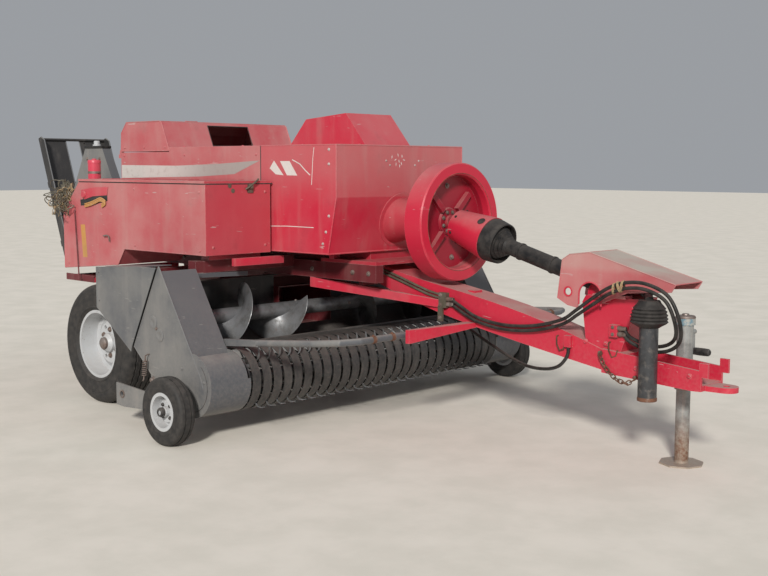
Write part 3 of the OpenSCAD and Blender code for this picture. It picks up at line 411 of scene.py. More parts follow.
# Near-black steel, made darker as painted shade of the shaded feeder interior.
worn_paint("dark_steel", (0.020, 0.020, 0.022), (0.042, 0.040, 0.039), dust=0.16, fade=0.6, rough=0.46,
    bare=(0.16, 0.14, 0.12), rust=0.6, wear=0.5)
bare_metal("worn_steel", (0.21, 0.215, 0.225), (0.10, 0.098, 0.095), dust=0.10, metal=0.4, rusty=0.35)
jack_finish("jack_paint")
rubber("black_plastic", (0.011, 0.011, 0.012), 0.09, rough=0.36)
rubber("tyre", (0.023, 0.0225, 0.0225), 0.095, dust_scale=30)
worn_paint("rim_silver", (0.51, 0.53, 0.55), (0.41, 0.415, 0.42), dust=0.26, rust=0.9, scratch=0.15,
    rough=0.4, dark=(0.20, 0.17, 0.15), bare=(0.30, 0.24, 0.20))
bare_metal("line_steel", (0.15, 0.14, 0.105), (0.08, 0.065, 0.045), metal=0.35, rough=0.5)
rubber("hose", (0.010, 0.010, 0.010), 0.10, rough=0.4)
bare_metal("bolt_steel", (0.30, 0.26, 0.24), (0.13, 0.075, 0.055), metal=0.6, rough=0.5)
bare_metal("bright_bolt", (0.62, 0.56, 0.54), (0.34, 0.22, 0.20), metal=0.3, rough=0.5)
bare_metal("tube_steel", (0.085, 0.088, 0.096), (0.040, 0.039, 0.038), dust=0.3, metal=0.55, rough=0.3,
    rusty=0.2)
bare_metal("old_rust", (0.17, 0.075, 0.042), (0.075, 0.036, 0.024), metal=0.1, rough=0.8, dust=0.5)
twine_fibre("twine")
silver_stripe("stripe", AXLE_X - 0.1, AXLE_X + 0.5)
worn_paint("white_film", (0.72, 0.69, 0.66), (0.60, 0.54, 0.51), dust=0.2, rough=0.4, wear=0.2,
    dark=(0.35, 0.25, 0.23), scratch=0.8, bare=(0.4, 0.10, 0.11))
worn_paint("amber_film", (0.52, 0.24, 0.045), (0.50, 0.30, 0.14), dust=0.3, rough=0.4, wear=0.2)

# The record's slot that each finish of a new piece belongs to
FINISH_SLOT = {"bolt_steel": "worn_steel", "bright_bolt": "worn_steel", "tube_steel": "dark_steel",
    "old_rust": "line_steel", "twine": "line_steel", "stripe": "rim_silver", "white_film": "rim_silver",
    "amber_film": "canister_red"}


def dress_nodes():
    slots = {row["node"]: row["material_slot"] for row in frame["record"]["subparts"]}
    for name, obj in nodes.items():
        for slot in obj.material_slots:
            slot.material = PALETTE[slots[name]]


def make_hoses():
    for end, route in (("a", ROUTE_A), ("b", ROUTE_B), ("lift", ROUTE_LIFT)):
        line = route_line(route)
        piece = curve_piece("hose_run_" + end, line, HOSE_R, PALETTE["hose"], "chassis")
        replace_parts(piece, "hose_" + end)


# Shape building
def frame_along(axis):
    """Rotation whose Z lies along the axis."""
    return Vector(axis).normalized().to_track_quat("Z", "Y").to_matrix()


def mm(*numbers):
    """Pairs of radius and height in metres, from millimetres in a row."""
    return [(a / 1000, b / 1000) for a, b in zip(numbers[::2], numbers[1::2])]


def upright(y, *numbers):
    """Places in one upright plane, from x and z in millimetres in a row."""
    return [(x, y, z) for x, z in mm(*numbers)]


def spots(*numbers):
    """Places from x, y and z in millimetres in a row."""
    return [tuple(v / 1000 for v in numbers[i:i + 3]) for i in range(0, len(numbers), 3)]


def grid(rings, count, closed):
    """Faces between rings of count corners each."""
    faces = []
    for i in range(rings if closed else rings - 1):
        here, there = i * count, (i + 1) % rings * count
        faces += [(here + k, here + (k + 1) % count, there + (k + 1) % count, there + k)
            for k in range(count)]
    return faces


def caps(rings, count):
    return [tuple(range(count)), tuple(range(rings * count - 1, (rings - 1) * count - 1, -1))]


def turns(count, start=0):
    """Angles of evenly spaced places round a circle; start in degrees."""
    return [radians(360 / count * k + start) for k in range(count)]


def placed(place):
    """A tuple counts from the main axle, a vector is a place in the frame already."""
    return at(*place) if isinstance(place, tuple) else Vector(place)


class Parts:
    """Gathers small shapes of one finish on one body into a single joined mesh."""
    unfinished = []

    def __init__(self, name, finish, body="chassis"):
        self.name = name
        self.finish = finish
        self.body = body
        self.bm = bmesh.new()
        Parts.unfinished.append(self)

    def shape(self, corners, faces, bevel=0.0):
        piece = bmesh.new()
        made = [piece.verts.new(c) for c in corners]
        for face in faces:
            piece.faces.new([made[i] for i in face])
        bmesh.ops.recalc_face_normals(piece, faces=piece.faces)
        if bevel:
            bmesh.ops.bevel(piece, geom=piece.edges[:], offset=bevel, segments=2, profile=0.7,
                affect="EDGES", clamp_overlap=True)
        mesh = bpy.data.meshes.new("shape")
        piece.to_mesh(mesh)
        piece.free()
        self.bm.from_mesh(mesh)
        bpy.data.meshes.remove(mesh)

    def prism(self, outline, push, bevel=0.0):
        """A flat outline pushed along a vector."""
        outline = [placed(p) for p in outline]
        n = len(outline)
        push = Vector(push)
        sides = [(i, (i + 1) % n, n + (i + 1) % n, n + i) for i in range(n)]
        self.shape(outline + [p + push for p in outline], caps(2, n) + sides, bevel)

    def bar(self, low, high, bevel=0.002):
        """An edged bar between two opposite corners, in any order."""
        pairs = [sorted(pair) for pair in zip(placed(low), placed(high))]
        a, b = (Vector([pair[i] for pair in pairs]) for i in (0, 1))
        foot = [Vector((x, y, a.z)) for x, y in ((a.x, a.y), (b.x, a.y), (b.x, b.y), (a.x, b.y))]
        self.prism(foot, (0, 0, b.z - a.z), bevel)

    def turned(self, place, axis, profile, steps=20):
        """A profile of radius and height turned round an axis; ends at radius 0 are closed."""
        turn = frame_along(axis)
        place = placed(place)
        corners = []
        rings = []
        for radius, height in profile:
            if radius < 1e-6:
                rings.append([len(corners)])
                corners.append(place + turn @ Vector((0, 0, height)))
            else:
                rings.append(list(range(len(corners), len(corners) + steps)))
                for a in turns(steps):
                    corners.append(place + turn @ Vector((radius * cos(a), radius * sin(a), height)))
        faces = []
        for low, high in zip(rings, rings[1:]):
            for k in range(steps):
                k2 = (k + 1) % steps
                if len(low) == 1 and len(high) > 1:
                    faces.append((low[0], high[k], high[k2]))
                elif len(high) == 1 and len(low) > 1:
                    faces.append((low[k], low[k2], high[0]))
                elif len(low) > 1:
                    faces.append((low[k], low[k2], high[k2], high[k]))
        self.shape(corners, faces)

    def tube(self, line, radius, sides=8, closed=False):
        line = [placed(p) for p in line]
        n = len(line)
        normal = None
        corners = []
        for i, p in enumerate(line):
            before = line[i - 1] if closed or i else p
            after = line[(i + 1) % n] if closed or i < n - 1 else p
            ahead = (after - before).normalized()
            if normal is None:
                normal = ahead.orthogonal().normalized()
            normal = (normal - ahead * normal.dot(ahead)).normalized()
            side = ahead.cross(normal)
            for a in turns(sides):
                corners.append(p + radius * (cos(a) * normal + sin(a) * side))
        self.shape(corners, grid(n, sides, closed) + ([] if closed else caps(n, sides)))

    def bolt(self, place, axis, size=0.010):
        """A washer and a chamfered six-sided head; size is the head's radius."""
        self.turned(place, axis, [(0, -0.001), (1.35 * size, -0.001), (1.35 * size, 0.22 * size),
            (1.25 * size, 0.28 * size), (0, 0.28 * size)], 16)
        self.turned(place, axis, [(0, 0.2 * size), (size, 0.2 * size), (size, 0.8 * size),
            (0.82 * size, size), (0, size)], 6)

    def side_bolts(self, s, y, size, *places):
        """Bolts on a side face at distance y, from x and z in millimetres in a row."""
        for x, z in mm(*places):
            self.bolt((x, s * y, z), (0, s, 0), size)

    def spring(self, start, end, radius, wire, turns):
        start, end = placed(start), placed(end)
        turn = frame_along(end - start)
        steps = int(turns * 12)
        line = [start + (end - start) * i / steps + turn @ Vector((radius * cos(i * pi / 6),
            radius * sin(i * pi / 6), 0)) for i in range(steps + 1)]
        self.tube(line, wire, 6)

    def chain(self, line, link=0.032, width=0.010, wire=0.0032):
        """Welded links along a line, every second one turned by a quarter."""
        line = [placed(p) for p in line]
        total = length_of(line)
        count = max(2, round(total / (link - 2.2 * wire)))
        for i in range(count):
            middle, ahead = along(line, (i + 0.5) / count)
            turn = frame_along(ahead)
            roll = Matrix.Rotation(pi / 2 * (i % 2), 3, "Z")
            half = link / 2 - width
            loop = []
            for a in turns(14):
                loop.append(middle + turn @ roll @ Vector((width * cos(a), 0,
                    width * sin(a) + copysign(half, sin(a) + 1e-9))))
            self.tube(loop, wire, 6, closed=True)

    def done(self, smooth_angle=40):
        Parts.unfinished.remove(self)
        mesh = bpy.data.meshes.new(self.name)
        self.bm.to_mesh(mesh)
        self.bm.free()
        for face in mesh.polygons:
            face.use_smooth = True
        mesh.set_sharp_from_angle(angle=radians(smooth_angle))
        mesh.materials.append(PALETTE[self.finish])
        piece = new_object(self.name, mesh)
        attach(piece, self.body)
        FINISH_SLOT.get(self.finish, self.finish)
        return piece


def along(line, share):
    """Point and direction at a share of a line's length."""
    want = share * length_of(line)
    for a, b in zip(line, line[1:]):
        step = (b - a).length
        if want <= step:
            return a + (b - a) * (want / step), (b - a).normalized()
        want -= step
    return line[-1].copy(), (line[-1] - line[-2]).normalized()


# Wheels
TREAD_SWAY = 0.0035
TYRE_STEPS = 180


def tyre_piece(name, node, body, rim_share, grooves, groove_w, groove_d, waves):
    """A ribbed tyre turned round its node's own axle, with bead, side rings and shoulder."""
    low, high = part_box(node)
    middle = (low + high) / 2
    r = (high.z - low.z) / 2
    w = (high.y - low.y) / 2
    bead = r * rim_share
    shoulder = 0.44 * w
    half = [(bead - 0.012, w * 0.70, 0), (bead + 0.0005, w * 0.76, 0), (bead + 0.0008, w * 0.84, 0),
        (bead + 0.012, w * 0.94, 0), (bead + 0.016, w * 0.985, 0), (bead + 0.022, w * 0.985, 0),
        (bead + 0.026, w * 0.955, 0)]
    wall_top = r - shoulder
    for share, out in ((0.2, 0.978), (0.45, 0.997), (0.7, 1.0), (0.78, 1.0), (0.8, 0.985), (0.95, 0.985)):
        half.append((bead + 0.026 + (wall_top - bead - 0.026) * share, w * out, 0))
    for k in range(9):
        a = pi / 2 * k / 8
        half.append((wall_top + shoulder * sin(a) - 0.001, w - shoulder + shoulder * cos(a) - 0.001, 0))
    tread = []
    for place in grooves:
        edge = groove_w / 2
        tread += [(r, place + edge, 1), (r - groove_d * 0.85, place + edge * 0.7, 1),
            (r - groove_d, place, 1), (r - groove_d * 0.85, place - edge * 0.7, 1), (r, place - edge, 1)]
    section = half + tread + [(a, -b, c) for a, b, c in reversed(half)]
    steps = TYRE_STEPS
    corners = []
    for i in range(steps):
        a = 2 * pi * i / steps
        sway = TREAD_SWAY * (1 - 4 * abs((i * waves / steps) % 1 - 0.5)) if waves else 0
        for radius, y, moves in section:
            corners.append((middle.x + radius * sin(a), middle.y + y + sway * moves,
                middle.z + radius * cos(a)))
    parts = Parts(name, "tyre", body)
    parts.shape(corners, grid(steps, len(section), True))
    piece = parts.done(30)
    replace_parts(piece, node)


def make_tyres():
    for s in SIDES:
        side = SIDE_NAME[s]
        tyre_piece("main_tread_" + side, "tyre_" + side, "main_wheel_" + side, 0.5726,
            (0.06, 0.02, -0.02, -0.06), 0.013, 0.010, 45)
        tyre_piece("gauge_tread_" + side, "gauge_tyre_" + side, "gauge_wheel_" + side, 0.5652,
            (0.018, -0.018), 0.008, 0.006, 0)


def make_wheel_hardware():
    for s in SIDES:
        side = SIDE_NAME[s]
        low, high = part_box("rim_" + side)
        middle = (low + high) / 2
        nuts = Parts("wheel_nuts_" + side, "bolt_steel", "main_wheel_" + side)
        for a in turns(6, 30):
            nuts.bolt(middle + Vector((0.082 * cos(a), s * 0.009, 0.082 * sin(a))), (0, s, 0), 0.013)
        nuts.turned(middle + Vector((0, s * 0.049, 0)), (0, s, 0), mm(0, -3, 36, -3, 38, 0, 36, 16, 26, 24,
            0, 26), 28)
        nuts.tube([middle + Vector(v) for v in ((0.13, -s * 0.005, 0.05), (0.135, s * 0.02, 0.052),
            (0.14, s * 0.038, 0.054))], 0.004)
        low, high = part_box("gauge_rim_" + side)
        middle = (low + high) / 2
        hub = Parts("gauge_hub_" + side, "dark_steel", "gauge_wheel_" + side)
        for a in turns(4, 45):
            hub.bolt(middle + Vector((0.045 * cos(a), s * 0.0085, 0.045 * sin(a))), (0, s, 0), 0.008)
        hub.turned(middle, (0, s, 0), mm(13.5, 28, 26, 28, 26.5, 46, 22, 54, 13.5, 54), 24)
        nut = Parts("gauge_axle_nut_" + side, "bolt_steel", "pickup")
        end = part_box("gauge_arm_" + side)[1 if s > 0 else 0]
        nut.bolt(Vector((middle.x, end.y, middle.z)), (0, s, 0), 0.013)


# Body sheets
BODY_HALF = 0.536
SHIELD_X = 1.565
SHIELD_FOOT_X = 1.495
CREASE_Z = 1.304
ROOF_Z = 1.600
BOX_OUT = 1.030
BOX_FRONT = 1.025
BOX_TOP = 1.380
FILM = 0.0006
SCRATCH_HALF = 0.0022
HEM_R = 0.0045
THIN_HEM_R = 0.004


def side_film(parts, s, y, outline):
    """A flat film on a side face at distance y, given by its x and z corners."""
    parts.prism([(x, s * y, z) for x, z in outline], (0, s * FILM, 0))


def make_stripes():
    stripe = Parts("side_stripe", "stripe")
    bars = Parts("slanted_bars", "white_film")
    marks = Parts("scratches", "white_film")
    strips = Parts("reflector_strips", "amber_film")
    for s in SIDES:
        side_film(stripe, s, BODY_HALF, mm(-572, 1484, 66, 1480, 500, 1492, 905, 1512, 661.6, 1430, 306,
            1412.5, -572, 1396))
        side_film(bars, s, BODY_HALF, mm(995, 1466, 1034, 1511, 1119, 1426, 1049.5, 1431))
        side_film(bars, s, BODY_HALF, mm(1088, 1508, 1173, 1508, 1240, 1425, 1149.5, 1426))
        side_film(strips, s, BOX_OUT, mm(-294, 1104, -244, 1106, -222, 899, -274, 896))
    for line in ([(1.196, 1.516), (1.263, 1.491), (1.306, 1.457), (1.350, 1.428)],
            [(1.383, 1.585), (1.373, 1.520), (1.362, 1.374)], [(0.936, 1.124), (1.15, 1.131),
            (1.378, 1.131)]):
        outline = [(x + SCRATCH_HALF, z + SCRATCH_HALF) for x, z in line]
        outline += [(x - SCRATCH_HALF, z - SCRATCH_HALF) for x, z in reversed(line)]
        side_film(marks, -1, BODY_HALF, outline)


def make_body_trim():
    """Folded hems, seams and bolts of the shield and the body, and the front hood's flange."""
    hem = Parts("shield_hems", "red_front")
    bolts = Parts("body_bolts", "bright_bolt")
    seam = Parts("panel_seams", "dark_steel")
    for s in SIDES:
        y = s * (BODY_HALF - 0.002)
        hem.tube([(SHIELD_FOOT_X, y, 0.985), (SHIELD_X - 0.002, y, CREASE_Z),
            (SHIELD_X - 0.002, y, ROOF_Z - 0.002)], HEM_R)
        hem.tube([(0.914, y, 0.981), (SHIELD_FOOT_X, y, 0.985)], HEM_R)
        hem.tube([(0.914, y, ROOF_Z - 0.002), (SHIELD_X - 0.002, y, ROOF_Z - 0.002)], THIN_HEM_R)
        bolts.side_bolts(s, BODY_HALF, 0.0065, 1507.5, 1572, 1507, 1491, 1506, 1201, 1481, 1110, 1456, 1042)
        for x in (-0.54, 0.15, 0.87):
            hem.bolt((x, s * BODY_HALF, 1.548), (0, s, 0), 0.006)
        seam.prism(upright(s * BODY_HALF, 908.5, 1050, 915.5, 1050, 915.5, 1600, 908.5, 1600),
            (0, s * 0.0004, 0))
        for y2, z in mm(139, 1512, 107, 1486):
            bolts.bolt((SHIELD_X if z > CREASE_Z else SHIELD_FOOT_X + 0.008, s * y2, z),
                (1, 0, 0.0 if z > 1.3 else -0.2), 0.0045)
    y = BODY_HALF - 0.002
    hem.tube([(SHIELD_FOOT_X, -y, 0.985), (SHIELD_FOOT_X, y, 0.985)], 0.005)
    hem.tube([(SHIELD_X - 0.002, -y, ROOF_Z - 0.002), (SHIELD_X - 0.002, y, ROOF_Z - 0.002)], HEM_R)
    for x, y2 in mm(20, -440, 50, 50, 600, -420, 750, 440, 1200, -460, 1200, 460, 1500, -300, 1500, 300):
        hem.bolt((x, y2, ROOF_Z), (0, 0, 1), 0.007)
    # Collar that closes the shield's hole round the gear case's nose
    lean = Vector((0.9768, 0, -0.2143))
    hem.turned((1.5352, 0, 1.168), lean, mm(130, 0.4, 161, 0.4, 161, 4, 130, 4, 130, 0.4), 64)
    chips = Parts("paint_chips", "white_film")
    for y2, z in mm(-89.6, 1533.4, -39.1, 1545.4, 12.3, 1516.7, -55.6, 1491.4, -24.5, 1482.2, -30.3,
            1508.9, -60, 1518, -5, 1538, -10, 1496):
        a = uniform(0, pi)
        c, q = 0.011 * cos(a), 0.011 * sin(a)
        chips.prism([(SHIELD_X, y2 - c, z - q), (SHIELD_X, y2 + 0.3 * q, z - 0.3 * c),
            (SHIELD_X, y2 + c, z + q), (SHIELD_X, y2 - 0.3 * q, z + 0.3 * c)], (FILM, 0, 0))
    # Foot flange of the front hood with its bolts
    flange = Parts("front_hood_flange", "red_front")
    half = 0.19
    rear, front, wide = 0.775, 1.450, 0.022
    for s in SIDES:
        flange.bar((rear - wide, s * half, ROOF_Z), (front + wide, s * (half + wide), ROOF_Z + 0.004),
            0.001)
        for x in (0.82, 1.02, 1.22, 1.41):
            flange.bolt((x, s * (half + wide / 2), ROOF_Z + 0.004), (0, 0, 1), 0.0065)
    for x0 in (rear - wide, front):
        flange.bar((x0, -half, ROOF_Z), (x0 + wide, half, ROOF_Z + 0.004), 0.001)


def make_box_trim():
    for s in SIDES:
        side = SIDE_NAME[s]
        trim = Parts("box_hems_" + side, "red_cover")
        steel = Parts("box_hardware_" + side, "bolt_steel")
        black = Parts("box_latch_" + side, "line_steel")
        y = s * (BOX_OUT - 0.002)
        trim.tube([(-0.498, y, 0.818), (0.13, y, 0.874), (0.205, y, 0.974), (BOX_FRONT - 0.002, y, 0.977),
            (BOX_FRONT - 0.002, y, BOX_TOP - 0.006)], 0.0042)
        trim.tube([(-0.498, y, 0.818), (-0.498, y, 1.18), (-0.384, y, 1.29), (-0.302, y, BOX_TOP - 0.004)],
            0.0042)
        trim.side_bolts(s, BOX_OUT, 0.006, -450, 850, 320, 1000, 970, 1000, 970, 1330, 320, 1340, -460,
            1140)
        for y2, z in mm(600, 1330, 600, 1020, 980, 1020):
            trim.bolt((BOX_FRONT, s * y2, z), (1, 0, 0), 0.006)
        # Dark gap under the lid's edge
        gap = Parts("lid_gap_" + side, "dark_steel")
        gap.prism([(-0.300, s * BOX_OUT, 1.3735), (BOX_FRONT, s * BOX_OUT, 1.3735),
            (BOX_FRONT, s * BOX_OUT, 1.3795), (-0.300, s * BOX_OUT, 1.3795)], (0, s * 0.0008, 0))
        gap.prism([(BOX_FRONT, s * 0.542, 1.3735), (BOX_FRONT, s * BOX_OUT, 1.3735),
            (BOX_FRONT, s * BOX_OUT, 1.3795), (BOX_FRONT, s * 0.542, 1.3795)], (0.0008, 0, 0))
        # Two dark clip holes and a draw latch with its handle on the front face
        for y2, z in mm(859, 1366, 836, 1338):
            black.turned((BOX_FRONT, s * y2, z), (1, 0, 0), mm(0, 0.4, 11, 0.4, 13, 2.2, 10, 3, 0, 1.2), 18)
        black.bar((BOX_FRONT, s * 0.69, 1.325), (BOX_FRONT + 0.006, s * 0.73, 1.372), 0.001)
        black.tube([(BOX_FRONT + 0.010, s * 0.750, 1.346), (BOX_FRONT + 0.018, s * 0.735, 1.356),
            (BOX_FRONT + 0.018, s * 0.675, 1.392), (BOX_FRONT + 0.012, s * 0.657, 1.404)], 0.0055, 10)
        black.bar((BOX_FRONT + 0.004, s * 0.70, 1.350), (BOX_FRONT + 0.020, s * 0.72, 1.378), 0.001)
        # A bent rod hook on the side
        steel.tube([(-0.012, s * BOX_OUT, 1.043), (-0.008, s * (BOX_OUT + 0.014), 1.044),
            (0.03, s * (BOX_OUT + 0.018), 1.050), (0.056, s * (BOX_OUT + 0.016), 1.046),
            (0.052, s * (BOX_OUT + 0.010), 1.012)], HEM_R)
    step = Parts("step_hanger", "red_frame")
    step.tube([(-0.352, -BOX_OUT - 0.001, 1.195), (-0.350, -BOX_OUT - 0.008, 1.180),
        (-0.318, -BOX_OUT - 0.009, 0.80), (-0.315, -BOX_OUT - 0.008, 0.752), (-0.315, -1.004, 0.750)],
        HEM_R)
    step.bar((-0.522, -1.010, 0.735), (-0.190, -1.003, 0.778), 0.002)
    for x in (-0.48, -0.42, -0.36, -0.30, -0.24):
        step.bar((x, -0.99, 0.765), (x + 0.012, -0.80, 0.771), 0.0015)
    for s in SIDES:
        side = SIDE_NAME[s]
        lid = Parts("lid_ribs_" + side, "red_cover", "twine_lid_" + side)
        inner, outer = BODY_HALF + 0.05, BOX_OUT - 0.03
        top = BOX_TOP + 0.0143
        for x in (-0.1, 0.35, 0.8):
            lid.prism([(x - 0.02, s * inner, top), (x + 0.02, s * inner, top), (x + 0.02, s * outer, top),
                (x - 0.02, s * outer, top)], (0, 0, 0.004), 0.0018)


def make_hood_trim():
    hood = Parts("knotter_hood_trim", "red_cover", "knotter_hood")
    dark = Parts("knotter_hood_edges", "dark_steel", "knotter_hood")
    y = BODY_HALF - 0.001
    for s in SIDES:
        hood.tube(upright(s * y, -22, 1577, -22, 1592, -100, 1763, -122, 1770.5, -508, 1770.5, -570, 1700,
            -577, 1577), THIN_HEM_R)
        hood.tube([(-0.577, s * y, 1.577), (-0.022, s * y, 1.577)], THIN_HEM_R)
        hood.side_bolts(s, BODY_HALF, 0.006, -60, 1600, -300, 1600, -530, 1600)
    hood.tube([(-0.111, -y, 1.7685), (-0.111, y, 1.7685)], THIN_HEM_R)
    # Rolled edge round the window
    corners = [(-0.170, 1.612), (0.175, 1.612), (0.175, 1.748), (-0.170, 1.748)]
    slope = (0.100 - 0.022) / (1.764 - 1.592)
    loop = [(-0.022 - (z - 1.592) * slope + 0.001, y2, z) for y2, z in corners]
    dark.tube(loop, 0.0035, closed=True)
    # Lift handle
    hood.tube(spots(-300, -200, 1772, -300, -200, 1782, -300, -100, 1782, -300, -100, 1772), 0.005)


# Drive
FLY_Z = 1.168
FLY_FACE = 2.017


def make_drive_trim():
    ring = Parts("flywheel_hardware", "bolt_steel", "flywheel")
    for a in turns(8, 22.5):
        ring.bolt((1.935, 0.056 * cos(a), FLY_Z + 0.056 * sin(a)), (1, 0, 0), 0.009)
    for a in turns(4, 6):
        ring.bolt((1.931, 0.205 * cos(a), FLY_Z + 0.205 * sin(a)), (1, 0, 0), 0.012)
    rust = Parts("flywheel_rust_and_shade_rings", "old_rust", "flywheel")
    # Thin rust-brown rings round the rim's inner and outer edges: rust, and painted shade along the rim's
    # edges.
    for radius in (0.2745, 0.3275):
        loop = [(FLY_FACE - (0.0008 if radius < 0.3 else 0.0062), radius * cos(a), FLY_Z + radius * sin(a))
            for a in turns(120)]
        rust.tube(loop, 0.0018, 6, closed=True)
    # The driveline leans by its drop; places on it are origin + back * distance
    drop = radians(15.5)
    back = Vector((-cos(drop), 0, sin(drop)))
    up = Vector((sin(drop), 0, cos(drop)))
    origin = at(2.950, 0, 0.885)
    boot = Parts("driveline_boot", "black_plastic")
    bell = mm(0, 0, 42.5, 0, 42.5, 600, 52.5, 612, 48.5, 620, 64.5, 630, 60.5, 638, 76.5, 648, 72.5, 656,
        88.5, 665, 85.5, 674, 95.5, 684, 98.5, 690, 101, 668, 104, 652, 108.5, 648, 113, 652, 115, 668,
        119, 700, 120.5, 722, 120, 734.7, 30, 734.7, 30, 934, 0, 934)
    boot.turned(origin, back, bell, 72)
    boot.bar((2.925, -0.055, 0.8353), (3.010, 0.055, 0.928), 0.006)
    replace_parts(boot.done(28), "pto_rear")
    hole = Parts("cone_hole", "black_plastic")
    for turn in (-38, 142):
        a = radians(turn)
        out = (up * cos(a) + Vector((0, 1, 0)) * sin(a)).normalized()
        slope = 34 / 250
        face = (out + slope * back).normalized()
        place = origin + back * 0.775 + out * 0.1187
        hole.turned(place, face, mm(0, 0.6, 19, 0.6, 23, 2.2, 20.5, 3.6, 17.5, 2.2, 0, 1.2), 24)
    for a in turns(6, 12):
        out = up * cos(a) + Vector((0, 1, 0)) * sin(a)
        hole.bolt(origin + back * 0.960 + out * 0.0925, out, 0.0065)
    boot = Parts("driveline_rings", "black_plastic")
    front = Parts("driveline_front", "black_plastic")
    place = at(3.345, -0.172, 0)
    front.turned(place, (0, 0, 1), mm(0, 720, 50, 720, 62, 728, 80, 738, 90.5, 747, 84, 755, 90, 763, 82.5,
        771, 88.5, 780, 79.5, 788, 84.5, 797, 74, 805, 78, 813, 56, 838, 50, 850, 0, 850), 64)
    front.tube(spots(3345, -172, 845, 3262, -60, 872, 3150, 0, 882, 3010.3, 0, 882), 0.022, 20)
    for x, y, z in spots(3262, -60, 872, 3150, 0, 882):
        front.turned((x, y, z), (1, 0, 0), mm(0, -32, 18, -27, 29, -14, 32, 0, 29, 14, 18, 27, 0, 32), 24)
    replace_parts(front.done(28), "pto_front")
    tube = Parts("driveline_tube", "tube_steel")
    tube.turned(place, (0, 0, 1), mm(0, 420, 30, 420, 30, 365, 45, 365, 45.5, 368, 45.5, 722, 0, 722), 56)
    lip = Parts("driveline_lip", "old_rust")
    lip.turned(place, (0, 0, 1), mm(45, 365.5, 47.5, 366.5, 47.5, 380, 45.6, 384, 45, 365.5), 56)
    for share in (0.10, 0.30, 0.52):
        boot.turned(origin + back * share, back, mm(42.5, -8, 46.5, -6, 47.5, 0, 46.5, 6, 42.5, 8), 32)


# Tongue, drawbar and jack
def make_tongue_trim():
    steel = Parts("hose_fittings", "bolt_steel")
    for x, y, z, end in ((2.0154, -0.106, 0.712, 46), (2.0154, -0.106, 0.740, 46),
            (3.1297, -0.097, 0.686, 44), (3.1297, -0.097, 0.658, 44)):
        steel.turned((x, y, z), (1, 0, 0), mm(0, 0, 13.5, 0, 13.5, 14, 12.5, 16, 11.8, 30, 12.8, 32, 11.5,
            end, 9.2, end + 2), 12)
    for x, z in mm(1973.5, 760, 1973.5, 705, 1971, 632):
        steel.bolt((x, -0.1185, z), (0, -1, 0), 0.009)
    for x, z in mm(3105, 655, 3105, 690):
        steel.bolt((x, -0.112, z), (0, -1, 0), 0.007)
    for x, y in mm(3500, -35, 3500, 35):
        steel.bolt((x, y, 0.4565), (0, 0, 1), 0.011)
    # Bolts on the tongue's sides, and the arch bracket's rim
    bright = Parts("arch_rim", "red_front")
    for x in (3.24, 3.53):
        for s in SIDES:
            bright.bolt((x, s * 0.105, 0.50), (0, s, 0), 0.010)
    for x in (2.935, 3.055):
        bright.bolt((x, -0.090, 0.60), (0, -1, 0), 0.010)
    arc = [(2.977 + 0.066 * cos(a), -0.1255, 0.840 + 0.066 * sin(a))
        for a in [radians(d) for d in range(0, 181, 12)]]
    bright.tube([(3.043, -0.1255, 0.79)] + arc + [(2.911, -0.1255, 0.79)], HEM_R)
    bright.turned((2.845, -0.1251, 0.850), (0, -1, 0), mm(19, 0, 26, 0, 27, 3, 19, 3), 28)
    # Rolled edges of the cover
    cover = Parts("cover_hems", "red_cover")
    for s in SIDES:
        cover.tube(upright(s * 0.124, 2780, 810, 2806, 1011, 2850, 1039, 2968, 1055, 3453, 926), 0.0035)
        cover.tube(upright(s * 0.124, 3453, 926, 3433, 892, 3300, 880, 3200, 870), 0.0035)
    cover.tube([(3.452, -0.124, 0.926), (3.452, 0.124, 0.926)], 0.0035)
    cover.tube([(2.968, -0.124, 1.0555), (2.968, 0.124, 1.0555)], 0.003)
    # Safety chain looped under the drawbar
    chain = Parts("safety_chain", "old_rust")
    chain.chain(spots(3034, -112, 545, 3060, -116, 500, 3095, -118, 462, 3142, -118, 431, 3195, -117, 420,
        3238, -114, 444))
    chain.turned((3.034, -0.0900, 0.552), (0, -1, 0), mm(0, 0, 13, 0, 13, 24, 0, 26), 12)
    chain.turned((3.238, -0.1045, 0.455), (0, -1, 0), mm(0, 0, 10, 0, 10, 12, 0, 13), 12)
    # Small hose hangers under the tongue
    for x, z in mm(2764, 600, 3079, 600):
        chain.tube([(x, -0.0905, z + 0.012), (x, -0.104, z + 0.010), (x + 0.004, -0.108, z - 0.03),
            (x + 0.020, -0.106, z - 0.062), (x + 0.044, -0.104, z - 0.052),
            (x + 0.052, -0.103, z - 0.022)], 0.0042)


